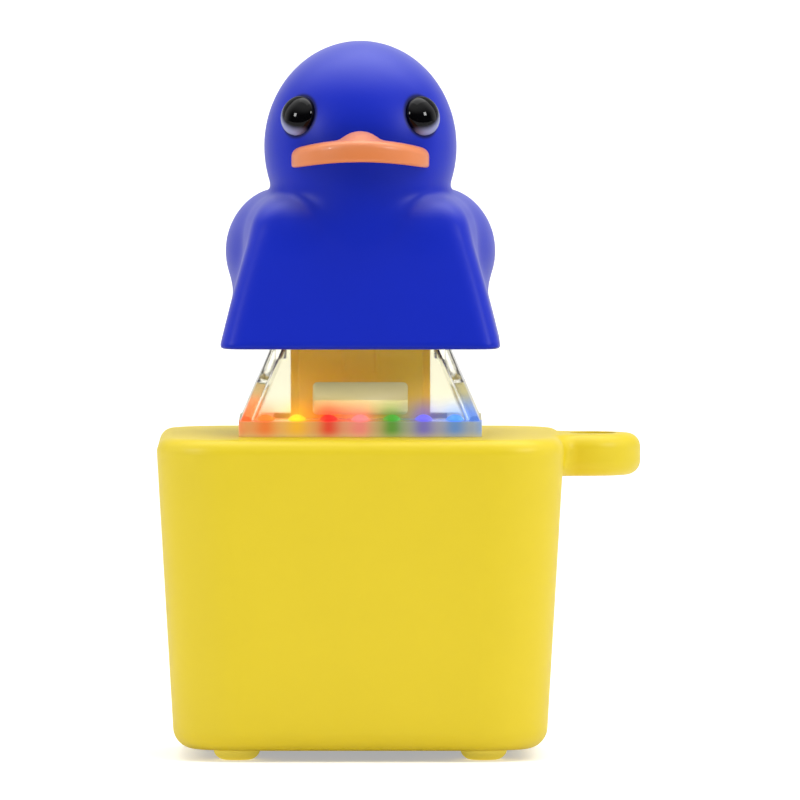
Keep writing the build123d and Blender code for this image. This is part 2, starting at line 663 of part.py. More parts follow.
def return_spring():
    low = tub_floor + SPRING_WIRE_RADIUS + SPRING_END_GAP
    high = plate + SPRING_POCKET_TOP - SPRING_WIRE_RADIUS - SPRING_END_GAP
    path = Pos(0, 0, low) * Helix((high - low) / SPRING_TURNS, high - low, SPRING_RADIUS)
    section = Plane(origin=path @ 0, z_dir=path % 0) * Circle(SPRING_WIRE_RADIUS)
    return sweep(section, path=path)


def fixed_contact():
    t = LEAF_THICKNESS / 2
    w = FIXED_CONTACT_HALF_WIDTH
    y = FIXED_CONTACT_Y
    foot_top = tub_floor + FIXED_CONTACT_FOOT
    strip = block(-w, w, y - t, y + t, tub_floor, plate + BUTTON_HEIGHT + FIXED_CONTACT_TOP)
    strip += block(-w, PIN_X + PIN_WIDTH / 2, y - PIN_THICKNESS / 2, y + PIN_THICKNESS / 2, tub_floor, foot_top)
    strip += block(*pin_limits(PIN_X, y), pin_bottom, foot_top)
    return strip + contact_button(y, y + t + BUTTON_PROUD)


def contact_button(y0, y1):
    """A round contact on the switch's middle line, from y0 to y1."""
    return Pos(0, (y0 + y1) / 2, plate + BUTTON_HEIGHT) * Rot(90, 0, 0) * Cylinder(BUTTON_RADIUS, y1 - y0)


def contact_leaf():
    """The moving contact: a thin blade with a contact button and two bumps that follow the stem's cams."""
    t = LEAF_THICKNESS / 2
    low = plate - LEAF_PIVOT_DEPTH
    level = plate + LEAF_BUMP_HEIGHT
    leaf = Pos(0, LEAF_Y, low) * Rot(0, 90, 0) * Cylinder(LEAF_ROOT_RADIUS, 2 * LEAF_HALF_WIDTH)
    leaf += block(-LEAF_HALF_WIDTH, LEAF_HALF_WIDTH, LEAF_Y - t, LEAF_Y + t, low, level + LEAF_TOP)
    centre = LEAF_BUMP_TIP + LEAF_BUMP_RADIUS
    for sx in (-1, 1):
        x0, x1 = sorted((sx * LEAF_SLOT_INNER, sx * LEAF_SLOT_OUTER))
        leaf -= block(x0, x1, LEAF_Y - 2 * t, LEAF_Y + 2 * t, plate - LEAF_SLOT_DEPTH, level + LID_OVERLAP)
        x0, x1 = sx * CAM_X - LEAF_BUMP_HALF_WIDTH, sx * CAM_X + LEAF_BUMP_HALF_WIDTH
        leaf += block(x0, x1, centre, LEAF_Y, level - LEAF_BUMP_RADIUS, level + LEAF_BUMP_RADIUS)
        leaf += Pos(sx * CAM_X, centre, level) * Rot(0, 90, 0) * Cylinder(LEAF_BUMP_RADIUS, x1 - x0)
    fixed_face = FIXED_CONTACT_Y + t + BUTTON_PROUD
    return leaf + contact_button(fixed_face + LEAF_TRAVEL + CONTACTS_OPEN, LEAF_Y)


def leaf_terminal():
    top = plate - LEAF_PIVOT_DEPTH - LEAF_ROOT_RADIUS - LEAF_ROOT_GAP
    t = PIN_THICKNESS / 2
    tab = block(-LEAF_HALF_WIDTH, LEAF_HALF_WIDTH, LEAF_Y - t, LEAF_Y + t, tub_floor, top)
    return tab + block(*pin_limits(-PIN_X, LEAF_Y), pin_bottom, top)


def light_strip():
    strip_top = plate + STRIP_THICKNESS
    half = STRIP_DEPTH / 2
    strip = block(-strip_half_x, strip_half_x, strip_y - half, strip_y + half, plate, strip_top)
    for x, y in strip_pins_at():
        strip += rod(x, y, STRIP_PIN_RADIUS, board_under, plate + STRIP_THICKNESS / 2)
    return strip


def lamp(index):
    """A domed lamp on the light strip."""
    x = LAMP_PITCH * (index - (len(LAMP_COLOURS) - 1) / 2)
    low = plate + STRIP_THICKNESS
    high = low + LAMP_BODY_HEIGHT
    dome = Pos(x, strip_y, high) * Sphere(LAMP_RADIUS, arc_size1=0, align=(Align.CENTER, Align.CENTER, Align.MIN))
    return rod(x, strip_y, LAMP_RADIUS, low, high) + dome


# ------------------------------------------------------------------ duck key


def skirt_side(z, inset=0.0):
    return along(SKIRT_SIDE, SKIRT_TOP_SIDE, (z - skirt_bottom) / SKIRT_HEIGHT) - 2 * inset


def head():
    return Pos(0, HEAD_Y, head_z) * egg(HEAD_RADIUS, HEAD_HALF_HEIGHT)


def eye_frame(side):
    """A plane on the head's surface at an eye, facing straight out of the head."""
    u, w = EYE_X / HEAD_RADIUS, EYE_RISE / HEAD_HALF_HEIGHT
    depth = HEAD_RADIUS * math.sqrt(1 - u * u - w * w)
    out = Vector(
        side * EYE_X / HEAD_RADIUS**2, -depth / HEAD_RADIUS**2, EYE_RISE / HEAD_HALF_HEIGHT**2
    ).normalized()
    return Plane(origin=(side * EYE_X, HEAD_Y - depth, head_z + EYE_RISE), z_dir=out)


def eye(side):
    """A glossy bead: a round shank in the head, and a shallow dome outside."""
    shank = Pos(0, 0, -EYE_SHANK / 2) * Cylinder(EYE_RADIUS, EYE_SHANK)
    outside = Pos(0, 0, EYE_RADIUS) * Box(4 * EYE_RADIUS, 4 * EYE_RADIUS, 2 * EYE_RADIUS)
    dome = egg(EYE_RADIUS, EYE_DOME) & outside
    return eye_frame(side) * (shank + dome)


def eye_socket(side):
    low, high = -EYE_SHANK - EYE_GAP, 2 * EYE_RADIUS
    return eye_frame(side) * Pos(0, 0, (low + high) / 2) * Cylinder(EYE_RADIUS + EYE_GAP, high - low)


def bill_blank(grow=0.0):
    """The bill's arched slab in front view, cut to a half oval in plan, reaching back into the head."""
    half = BILL_HALF_WIDTH + grow
    middle = head_z - BILL_DROP
    up, down = middle + BILL_THICKNESS / 2 + grow, middle - BILL_THICKNESS / 2 - grow
    end_up, end_down = up - BILL_TOP_SAG, down - BILL_SAG
    arch = Curve() + [
        ThreePointArc((-half, end_up), (0, up), (half, end_up)),
        Line((half, end_up), (half, end_down)),
        ThreePointArc((half, end_down), (0, down), (-half, end_down)),
        Line((-half, end_down), (-half, end_up)),
    ]
    length = BILL_ROOT + BILL_REACH
    root = head_front + BILL_ROOT + grow
    slab = extrude(Plane.XZ.offset(-root) * make_face(arch), length + LID_OVERLAP)
    oval = Pos(0, head_front + BILL_ROOT - BILL_STRAIGHT, 0) * Ellipse(half, length - BILL_STRAIGHT + grow)
    plan = oval + Pos(0, root - BILL_STRAIGHT / 2, 0) * Rectangle(2 * half, BILL_STRAIGHT)
    return slab & extrude(Plane.XY.offset(middle) * plan, 2 * BILL_THICKNESS, both=True)


def bill_ridge(grow=0.0):
    top = head_z - BILL_DROP + BILL_THICKNESS / 2 + RIDGE_RISE
    ridge = scale(Sphere(1), by=tuple(size + grow for size in RIDGE_SIZE))
    return Pos(0, head_front + RIDGE_SET_BACK, top - RIDGE_SIZE[2]) * ridge


def bill():
    slab = bill_blank()
    rim = [e for e in slab.edges() if e.center().Y < head_front + 1.0 and e.length > BILL_THICKNESS]
    return fillet(rim, BILL_FILLET) + bill_ridge()


def duck_shell():
    """Skirt, back, wings, tail and head as one moulding, hollow below the socket plate."""
    skirt = tapered_block(
        SKIRT_SIDE, SKIRT_TOP_SIDE, SKIRT_CORNER_RADIUS, 1.6 * SKIRT_CORNER_RADIUS, skirt_bottom, skirt_top
    )
    duck = fillet(skirt.edges().group_by(Axis.Z)[-1], SKIRT_TOP_FILLET)
    back = Rot(90, 0, 0) * egg(BACK_RADIUS, BACK_HALF_LENGTH)
    back = Pos(0, BACK_Y, skirt_top - BACK_DROP) * back
    duck += back & block(-SKIRT_SIDE, SKIRT_SIDE, -SKIRT_SIDE, SKIRT_SIDE, ceiling, skirt_top + BACK_RADIUS)
    for sx in (-1, 1):
        duck += Pos(sx * WING_X, WING_Y, skirt_bottom + WING_RISE) * scale(Sphere(1), by=WING_SIZE)
    tail = Rot(90 - TAIL_LIFT, 0, 0) * egg(TAIL_RADIUS, TAIL_HALF_LENGTH)
    duck += Pos(0, TAIL_Y, skirt_top - TAIL_DROP) * Rot(0, 0, 180) * tail
    duck += head()
    duck -= tapered_block(
        skirt_side(skirt_bottom, SKIRT_WALL), skirt_side(core_top, SKIRT_WALL),
        SKIRT_INNER_RADIUS, SKIRT_INNER_RADIUS, skirt_bottom, core_top,
    )
    for side in (-1, 1):
        duck -= eye_socket(side)
    duck -= bill_blank(BILL_GAP)
    duck -= bill_ridge(BILL_GAP)
    return duck


def keycap_core():
    """The plate inside the duck, with the round post that grips the stem's cross."""
    side0 = skirt_side(ceiling, SKIRT_WALL + CORE_GAP)
    side1 = skirt_side(core_top, SKIRT_WALL + CORE_GAP)
    corner = SKIRT_INNER_RADIUS - CORE_GAP
    core = tapered_block(side0, side1, corner, corner, ceiling, core_top)
    low, high = housing_top + SOCKET_LIFT, housing_top + SOCKET_DEPTH
    core += rod(0, 0, SOCKET_RADIUS, low, ceiling + CORE_THICKNESS / 2)
    half, arm = CROSS_SPAN / 2 + SOCKET_GAP, CROSS_ARM / 2 + SOCKET_GAP
    core -= block(-half, half, -arm, arm, low - LID_OVERLAP, high)
    core -= block(-arm, arm, -half, half, low - LID_OVERLAP, high)
    return core


# ------------------------------------------------------------------ write the pieces


def write(name, shape):
    """One STEP file for a node; a list becomes separate solids in one file."""
    if isinstance(shape, list):
        shape = Compound(children=[s for item in shape for s in item.solids()])
    export_step(shape, f"parts/{name}.step")


def base_pieces():
    write("base_shell", base_shell())
    write("bottom_cover", bottom_cover())
    for y_name, sy in (("front", -1), ("back", 1)):
        for x_name, sx in (("left", -1), ("right", 1)):
            write(f"foot_{y_name}_{x_name}", foot(sx * foot_xy, sy * foot_xy))
    write("cover_screws", cover_screws())


def power_pieces():
    for index, name in enumerate(("lower", "middle", "upper")[:CELL_COUNT]):
        write(f"button_cell_{name}", button_cell(cells_bottom + index * CELL_HEIGHT))
    for piece in (battery_holder, positive_strap, negative_strap, main_board, driver_chip, chip_resistors):
        write(piece.__name__, piece())
    write("board_screws", board_screws())


def switch_pieces():
    housings = (lower_housing, upper_housing)
    contacts = (fixed_contact, contact_leaf, leaf_terminal)
    for piece in (*housings, stem, return_spring, *contacts, light_strip):
        write(piece.__name__, piece())
    for index, colour in enumerate(LAMP_COLOURS):
        write(f"lamp_{colour}", lamp(index))


def key_pieces():
    for piece in (duck_shell, keycap_core, bill):
        write(piece.__name__, piece())
    write("left_eye", eye(1))
    write("right_eye", eye(-1))


os.makedirs("parts", exist_ok=True)
base_pieces()
power_pieces()
switch_pieces()
key_pieces()
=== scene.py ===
"""Looks for the duck key-switch clicker, laid out as an add-on with one operator for each piece or group.

Lengths in the solid-shape code are millimetres in the frame's axes, and become metres when a mesh is made.
"""

import math

import bpy
import numpy as np
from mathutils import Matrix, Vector


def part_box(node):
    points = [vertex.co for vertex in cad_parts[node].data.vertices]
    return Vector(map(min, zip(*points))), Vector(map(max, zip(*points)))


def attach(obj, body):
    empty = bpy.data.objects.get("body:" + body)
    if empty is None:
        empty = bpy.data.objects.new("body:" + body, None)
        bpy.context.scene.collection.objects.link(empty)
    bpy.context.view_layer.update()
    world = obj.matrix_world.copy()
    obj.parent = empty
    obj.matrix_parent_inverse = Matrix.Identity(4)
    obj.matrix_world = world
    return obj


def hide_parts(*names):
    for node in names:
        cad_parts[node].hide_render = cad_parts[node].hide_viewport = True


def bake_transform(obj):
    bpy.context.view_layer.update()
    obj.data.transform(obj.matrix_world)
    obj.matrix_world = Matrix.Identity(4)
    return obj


bl_info = {
    "name": "Duck key-switch clicker",
    "version": (1, 0, 0),
    "blender": (4, 5, 0),
    "location": "3D View > Sidebar > Clicker",
    "description": "Builds the finished duck clicker around its packed frame",
    "category": "Object",
}

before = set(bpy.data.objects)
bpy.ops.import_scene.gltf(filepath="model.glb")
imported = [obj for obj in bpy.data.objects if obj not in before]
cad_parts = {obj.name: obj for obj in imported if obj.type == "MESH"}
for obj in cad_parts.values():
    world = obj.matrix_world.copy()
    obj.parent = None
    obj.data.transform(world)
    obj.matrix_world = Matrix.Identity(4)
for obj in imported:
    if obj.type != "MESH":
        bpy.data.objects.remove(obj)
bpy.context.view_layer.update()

MM = 0.001


def node_box(name):
    """Lowest and highest corner of a CAD node, in millimetres."""
    low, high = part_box(name)
    return np.array(low) / MM, np.array(high) / MM


# ---------------------------------------------------------------- settings


def length(name, text, default_mm):
    return bpy.props.FloatProperty(
        name=name,
        description=text,
        default=default_mm * MM,
        min=0.0,
        unit="LENGTH",
        subtype="DISTANCE",
        precision=5,
    )


def lengths(name, text, default_mm):
    scaled = tuple(v * MM for v in default_mm)
    return bpy.props.FloatVectorProperty(
        name=name, description=text, default=scaled, size=3, unit="LENGTH", subtype="XYZ", precision=5
    )


def colour(name, text, srgb):
    """A colour property whose default is given as 8-bit display values."""
    return bpy.props.FloatVectorProperty(
        name=name, description=text, default=linear(srgb), size=3, min=0.0, max=1.0, subtype="COLOR"
    )


def factor(name, text, default):
    return bpy.props.FloatProperty(
        name=name, description=text, default=default, min=0.0, max=1.0, subtype="FACTOR"
    )


def strength(name, text, default):
    return bpy.props.FloatProperty(name=name, description=text, default=default, min=0.0)


def angle(name, text, degrees):
    turn = math.radians(degrees)
    return bpy.props.FloatProperty(name=name, description=text, default=turn, subtype="ANGLE")


def linear(srgb):
    """Scene-linear values of an 8-bit display colour."""
    parts = [v / 255 for v in srgb]
    return tuple(v / 12.92 if v <= 0.04045 else ((v + 0.055) / 1.055) ** 2.4 for v in parts)


class DuckSettings(bpy.types.PropertyGroup):
    """Sizes and colours of the duck-shaped key."""

    head: lengths("Head", "Half sizes of the head", (6.2, 6.2, 6.8))
    head_offset: length("Head forward", "Head centre in front of the key's axis", 1.2)
    head_drop: length("Head drop", "Head centre below the top of the head", 6.8)
    wing: lengths("Wing", "Half sizes of each wing", (3.4, 5.2, 3.9))
    wing_place: lengths("Wing place", "Wing centre: across, back, above the skirt's edge", (5.3, 1.2, 6.05))
    shoulder: lengths("Shoulder", "Half sizes of each shoulder", (3.4, 6.1, 2.5))
    shoulder_place: lengths(
        "Shoulder place", "Shoulder centre: across, back, above the skirt's edge", (4.2, -0.5, 7.3)
    )
    back: lengths("Back", "Half sizes of the back", (6.2, 7.4, 5.9))
    back_shift: length("Back shift", "Middle of the back behind the key's axis", 1.3)
    back_drop: length("Back drop", "Middle of the back below the skirt's top", 5.65)
    tail: lengths("Tail", "Half sizes of the tail", (2.0, 3.6, 1.5))
    tail_shift: length("Tail shift", "Middle of the tail behind the key's axis", 7.3)
    tail_drop: length("Tail drop", "Middle of the tail below the skirt's top", 1.9)
    tail_tilt: angle("Tail tilt", "How far the tail points up", 38)
    skirt_top: length("Skirt top", "Side of the skirt's square at its top", 12.7)
    skirt_height: length("Skirt height", "Height of the skirt", 9.7)
    skirt_wall: length("Skirt wall", "Thickness of the skirt's wall", 1.15)
    chest_blend: length("Chest blend", "How softly the chin runs into the chest", 2.8)
    chest_width: length("Chest width", "Half width of the soft chest", 3.0)
    crease_blend: length("Crease blend", "How softly the head meets the shoulders at the sides", 0.7)
    detail: length("Detail", "Spacing of the skin's mesh", 0.2)
    skin: colour("Skin", "Colour of the duck", (14, 40, 190))
    bill: colour("Bill", "Colour of the bill", (232, 132, 70))
    bill_rim: length("Bill rim", "Edge rounding of the bill", 0.5)
    sheen: factor("Sheen", "Pale bloom where the skin turns away", 0.2)
    # The next two settings paint a highlight on the skin that faces up, as if it were lit from above.
    bloom: factor("Bloom", "Pale bloom where the skin faces up", 0.2)
    highlight_tint: colour("Bloom tint", "Colour of the bloom", (190, 194, 240))
    eye: colour("Eye", "Colour of the eyes", (6, 6, 8))
    # The pale crescent on each eye is a painted reflection of the bright surroundings.
    eye_reflection: colour("Eye reflection", "Pale crescent on the outer side of each eye", (150, 154, 196))
    eye_across: length("Eye across", "Each eye's centre beside the head's middle", 4.0)
    eye_rise: length("Eye rise", "Each eye's centre above the head's middle", 2.08)
    eye_radius: length("Eye radius", "Radius of each eye", 1.3)
    eye_dome: length("Eye dome", "How far each eye stands out of the head", 0.8)
    eye_shank: length("Eye shank", "How deep each eye sits in the head", 0.8)


class SwitchSettings(bpy.types.PropertyGroup):
    """Colours of the switch and its lamps."""

    clear: colour("Clear housing", "Tint of the clear housing", (246, 244, 228))
    clear_roughness: factor("Clear roughness", "Roughness of the clear housing", 0.05)
    clear_rounding: length("Clear rounding", "Edge rounding of the clear housing", 0.12)
    clear_bending: strength("Clear bending", "Refractive index of the clear housing", 1.2)
    clear_glow: factor("Clear glow", "How strongly the lamps tint the clear housing", 0.75)
    flange_glow: factor("Lower housing glow", "How strongly the lamps tint the lower housing", 0.92)
    stem: colour("Stem", "Colour of the slider", (246, 202, 14))
    flange: colour("Lower housing", "Colour of the lower housing", (236, 226, 170))
    pad: colour("Name pad", "Colour of the blank name pad", (238, 224, 160))
    pad_size: lengths("Pad size", "Width, thickness and height of the name pad", (6.1, 0.1, 2.1))
    pad_rise: length("Pad rise", "Middle of the name pad above the base", 2.45)
    pad_corner: length("Pad corner", "Corner radius of the name pad", 0.3)
    pad_front: length("Pad front", "Name pad behind the front of the clear housing", 0.68)
    coils: bpy.props.IntProperty(
        name="Coils", description="Turns of the return spring", default=9, min=3, max=30
    )
    wire: length("Wire", "Diameter of the spring's wire", 0.28)
    glow: strength("Glow", "Brightness of the lamps", 1.2)


class BaseSettings(bpy.types.PropertyGroup):
    """Colours and sizes of the base."""

    shell: colour("Shell", "Colour of the base", (234, 208, 34))
    feet: colour("Feet", "Colour of the feet", (248, 228, 90))
    # This setting is painted light, not light shining through the feet: the feet give off light of their own
    # colour, which lifts them out of the shade under the base.
    feet_painted_light: factor("Feet painted light", "Light that shines through the soft feet", 0.3)
    foot_radius: length("Foot radius", "Radius of each foot", 1.5)


class StudioSettings(bpy.types.PropertyGroup):
    """Camera and light."""

    view_width: length("View width", "Width of the view at the object", 51.6)
    aim: lengths("Aim", "Point the camera looks at", (2.55, 0.0, 22.8))
    distance: length("Distance", "Camera to object", 1400)
    air_front: strength("Air in front", "Light from in front of the object", 0.03)
    air_gloss: strength("Mirrored air", "How much brighter the air is where a surface mirrors it", 2.0)
    air_soft: strength("Soft air", "Light from in front that no surface mirrors", 0.28)
    air_behind: strength("Air behind", "Light from behind the object", 1.0)
    air_above: strength("Air above", "Light from above the object", 0.7)
    paper_lift: factor("Paper lift", "Light added to the backdrop as the camera sees it", 0.4)
    elevation: angle("Elevation", "Camera height as an angle", 2.1)


# ---------------------------------------------------------------- solid shapes as fields, in millimetres


def blend_min(a, b, k):
    """The lower of two fields, rounded where they are within k of each other."""
    h = np.clip(1 - np.abs(a - b) / k, 0, None)
    return np.minimum(a, b) - h * h * k / 4


def blend_max(a, b, k):
    """The higher of two fields, rounded where they are within k of each other."""
    return -blend_min(-a, -b, k)


def ellipsoid(p, centre, sizes):
    """About the distance to an ellipsoid with these half sizes."""
    q = p - np.asarray(centre)
    k0 = np.linalg.norm(q / sizes, axis=1)
    k1 = np.linalg.norm(q / np.square(sizes), axis=1)
    return k0 * (k0 - 1) / np.maximum(k1, 1e-9)


def turned(p, centre, turn):
    """Points as seen from axes at centre that are turned about X."""
    q = p - np.asarray(centre)
    y = q[:, 1] * math.cos(turn) + q[:, 2] * math.sin(turn)
    z = -q[:, 1] * math.sin(turn) + q[:, 2] * math.cos(turn)
    return np.stack([q[:, 0], y, z], 1)


def net(field, low, high, step, rounds=3):
    """Points and quads of the closed surface where field is zero, between low and high."""
    low, high = np.asarray(low, float), np.asarray(high, float)
    counts = np.ceil((high - low) / step).astype(int) + 1
    ticks = [low[i] + step * np.arange(counts[i]) for i in range(3)]
    grid = np.stack(np.meshgrid(*ticks, indexing="ij"), -1).reshape(-1, 3)
    values = field(grid).reshape(counts)
    inside = values < 0
    corners = [(i, j, k) for i in (0, 1) for j in (0, 1) for k in (0, 1)]
    cells = counts - 1
    filled = np.zeros(cells, int)
    for i, j, k in corners:
        filled += inside[i : i + cells[0], j : j + cells[1], k : k + cells[2]]
    at = np.argwhere((filled > 0) & (filled < 8))
    number = np.full(cells, -1)
    number[tuple(at.T)] = np.arange(len(at))
    total, crossings = np.zeros((len(at), 3)), np.zeros(len(at))
    for a in corners:
        for axis in range(3):
            if a[axis]:
                continue
            b = list(a)
            b[axis] = 1
            fa, fb = values[tuple((at + a).T)], values[tuple((at + b).T)]
            cut = (fa < 0) != (fb < 0)
            t = np.where(cut, fa / np.where(cut, fa - fb, 1), 0)
            point = at + np.asarray(a) + t[:, None] * np.eye(3)[axis]
            total += point * cut[:, None]
            crossings += cut
    points = low + step * total / crossings[:, None]
    for _ in range(rounds):
        points = onto(field, points, step)
    return points, np.concatenate([net_quads(inside, number, axis) for axis in range(3)])


def onto(field, points, step):
    """Moves points along the field's slope onto its zero surface."""
    nudge = 0.02 * step
    value = field(points)
    slope = np.stack([field(points + nudge * e) - value for e in np.eye(3)], 1) / nudge
    move = value[:, None] * slope / np.maximum((slope**2).sum(1), 0.05)[:, None]
    size = np.linalg.norm(move, axis=1, keepdims=True)
    return points - move * np.minimum(1, 0.6 * step / np.maximum(size, 1e-9))


def net_quads(inside, number, axis):
    """Quads round every grid edge along axis that the surface crosses."""
    u, v = [i for i in range(3) if i != axis]
    here = np.moveaxis(inside, (axis, u, v), (0, 1, 2))
    crossed = here[:-1, 1:-1, 1:-1] != here[1:, 1:-1, 1:-1]
    at = np.argwhere(crossed) + (0, 1, 1)
    leaving = here[tuple(at.T)]
    order = np.moveaxis(number, (axis, u, v), (0, 1, 2))
    ring = [(0, -1, -1), (0, 0, -1), (0, 0, 0), (0, -1, 0)]
    quads = np.stack([order[tuple((at + r).T)] for r in ring], 1)
    flip = leaving if axis == 1 else ~leaving
    quads[flip] = quads[flip][:, ::-1]
    return quads


def turned_mesh(profile, segments):
    """Points and faces of a closed turned shape. The profile starts and ends on the axis."""
    points = [(0, 0, profile[0][1])]
    for r, z in profile[1:-1]:
        for i in range(segments):
            a = 2 * math.pi * i / segments
            points.append((r * math.cos(a), r * math.sin(a), z))
    points.append((0, 0, profile[-1][1]))
    faces = []
    for i in range(segments):
        j = (i + 1) % segments
        faces.append((0, 1 + j, 1 + i))
        for row in range(len(profile) - 3):
            a, b = 1 + row * segments, 1 + (row + 1) * segments
            faces.append((a + i, a + j, b + j, b + i))
        last = 1 + (len(profile) - 3) * segments
        faces.append((last + i, last + j, len(points) - 1))
    return np.array(points), faces


def mesh_piece(name, points_mm, faces):
    """A smooth-shaded object whose place is in its mesh."""
    mesh = bpy.data.meshes.new(name)
    mesh.from_pydata((np.asarray(points_mm) * MM).tolist(), [], [list(map(int, f)) for f in faces])
    mesh.validate()
    mesh.polygons.foreach_set("use_smooth", [True] * len(mesh.polygons))
    obj = bpy.data.objects.new(name, mesh)
    bpy.context.scene.collection.objects.link(obj)
    return obj


def finish_piece(obj, material, body, slot, *nodes):
    """Gives a new piece its finish and its body, and hides the CAD nodes it takes the place of. The slot is
    not used.
    """
    obj.data.materials.clear()
    obj.data.materials.append(material)
    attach(obj, body)
    if nodes:
        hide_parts(*nodes)


def repaint(material, *names):
    """Gives CAD nodes their finish."""
    for name in names:
        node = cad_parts[name]
        node.data.materials.clear()
        node.data.materials.append(material)


# ---------------------------------------------------------------- shader effects shared by the materials


class Tree:
    """Short calls for building a node tree from left to right."""

    def __init__(self, tree):
        self.tree = tree

    def add(self, kind, inputs=None, **settings):
        node = self.tree.nodes.new(kind)
        for key, value in settings.items():
            setattr(node, key, value)
        for key, value in (inputs or {}).items():
            if isinstance(value, bpy.types.NodeSocket):
                self.tree.links.new(value, node.inputs[key])
            else:
                node.inputs[key].default_value = value
        return node

    def math(self, operation, a, b=0.0):
        return self.add("ShaderNodeMath", {0: a, 1: b}, operation=operation).outputs[0]

    def ramp(self, value, low, high):
        """0 below low, 1 above high, smooth between."""
        node = self.add("ShaderNodeMapRange", {"Value": value, "From Min": low, "From Max": high})
        node.interpolation_type = "SMOOTHSTEP"
        return node.outputs[0]

    def mix(self, weight, a, b):
        """A colour from a to b. The Mix node takes its colours at places 6 and 7, and gives one at 2."""
        return self.add("ShaderNodeMix", {0: weight, 6: a, 7: b}, data_type="RGBA").outputs[2]

    def scaled_add(self, a, factor, offset):
        """a times factor, plus offset."""
        return self.add("ShaderNodeMath", {0: a, 1: factor, 2: offset}, operation="MULTIPLY_ADD").outputs[0]

    def place(self):
        """Object coordinates in millimetres."""
        where = self.add("ShaderNodeTexCoord").outputs["Object"]
        scaled = self.add("ShaderNodeVectorMath", {0: where, 3: 1 / MM}, operation="SCALE")
        return scaled.outputs[0]

    def distance(self, a, b):
        return self.add("ShaderNodeVectorMath", {0: a, 1: b}, operation="DISTANCE").outputs["Value"]

    def parts(self, vector):
        """The X, Y and Z of a vector."""
        return self.add("ShaderNodeSeparateXYZ", {0: vector}).outputs

    def noise(self, place, scale, detail=3.0, roughness=0.5):
        node = self.add(
            "ShaderNodeTexNoise", {"Vector": place, "Scale": scale, "Detail": detail, "Roughness": roughness}
        )
        return node.outputs["Fac"]


def new_group(name, tree_kind, inputs, outputs):
    """A node group with labelled inputs, which may have a default, and outputs."""
    group = bpy.data.node_groups.new(name, tree_kind)
    for label, kind, value in inputs:
        socket = group.interface.new_socket(name=label, in_out="INPUT", socket_type=kind)
        if value is not None:
            socket.default_value = value
    for label, kind in outputs:
        group.interface.new_socket(name=label, in_out="OUTPUT", socket_type=kind)
    return group


def moulded_group():
    """Fine relief, slow colour drift and roughness drift of a moulded surface."""
    if "Moulded surface" in bpy.data.node_groups:
        return bpy.data.node_groups["Moulded surface"]
    group = new_group(
        "Moulded surface",
        "ShaderNodeTree",
        [
            ("Colour", "NodeSocketColor", (0.8, 0.8, 0.8, 1)),
            ("Drift", "NodeSocketFloat", 0.05),
            ("Roughness", "NodeSocketFloat", 0.5),
            ("Roughness drift", "NodeSocketFloat", 0.05),
            ("Grain", "NodeSocketFloat", 6.0),
            ("Relief", "NodeSocketFloat", 0.1),
            ("Normal", "NodeSocketVector", None),
        ],
        [("Colour", "NodeSocketColor"), ("Roughness", "NodeSocketFloat"), ("Normal", "NodeSocketVector")],
    )
    t = Tree(group)
    given = t.add("NodeGroupInput").outputs
    place = t.place()
    broad = t.noise(place, 0.22, 2.0)
    swing = t.scaled_add(broad, 2.0, -1.0)
    shade = t.scaled_add(swing, given["Drift"], 1.0)
    tint = t.add("ShaderNodeVectorMath", {0: given["Colour"], 3: shade}, operation="SCALE").outputs[0]
    fine = t.noise(place, given["Grain"], 4.0, 0.6)
    swing = t.math("SUBTRACT", fine, 0.5)
    rough = t.scaled_add(swing, given["Roughness drift"], given["Roughness"])
    bump = t.add(
        "ShaderNodeBump",
        {"Strength": given["Relief"], "Distance": 0.05 * MM, "Height": fine, "Normal": given["Normal"]},
    ).outputs[0]
    t.add("NodeGroupOutput", {"Colour": tint, "Roughness": rough, "Normal": bump})
    return group


def new_material(name):
    """A new material, its tree and its Principled shader."""
    material = bpy.data.materials.new(name)
    material.use_nodes = True
    tree = Tree(material.node_tree)
    shader = material.node_tree.nodes["Principled BSDF"]
    return material, tree, shader


def moulded(
    name, tint, roughness, grain=6.0, relief=0.12, drift=0.04, rounding=0.12, colour_from=None, **sockets
):
    """A moulded plastic: the shared surface effect feeds one Principled shader.

    rounding softens the sharp edges of the CAD mesh, in millimetres. colour_from turns the tree and the plain
    colour into a painted one. sockets sets the shader's other inputs, with an underscore for each space.
    """
    material, t, shader = new_material(name)
    colour_in = (*tint, 1)
    if colour_from:
        colour_in = colour_from(t, colour_in)
    if rounding:
        normal = t.add("ShaderNodeBevel", {"Radius": rounding * MM}, samples=6).outputs[0]
    else:
        normal = t.add("ShaderNodeNewGeometry").outputs["Normal"]
    values = {"Colour": colour_in, "Drift": drift, "Roughness": roughness, "Grain": grain, "Relief": relief}
    surface = t.add("ShaderNodeGroup", {**values, "Normal": normal}, node_tree=moulded_group())
    for given, taken in (("Colour", "Base Color"), ("Roughness", "Roughness"), ("Normal", "Normal")):
        t.tree.links.new(surface.outputs[given], shader.inputs[taken])
    for key, value in sockets.items():
        shader.inputs[key.replace("_", " ")].default_value = value
    return material


def metal(name, tint, roughness, rounding=0.05):
    """A bare metal with a fine grain."""
    return moulded(
        name, tint, roughness, grain=14.0, relief=0.06, drift=0.08, rounding=rounding, Metallic=1.0
    )


def lamp_places():
    """Each lamp's name and its centre across the strip, in millimetres, from left to right."""
    names = [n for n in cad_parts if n.startswith("lamp_")]
    places = {n: float(sum(c[0] for c in node_box(n)) / 2) for n in names}
    return sorted(places.items(), key=lambda item: item[1])


LAMP_TINTS = {
    "lamp_orange": (240, 120, 50),
    "lamp_amber": (248, 186, 44),
    "lamp_red": (228, 44, 36),
    "lamp_pink": (240, 130, 132),
    "lamp_green": (74, 150, 52),
    "lamp_violet": (110, 104, 206),
    "lamp_blue": (84, 138, 222),
}


# ---------------------------------------------------------------- the duck


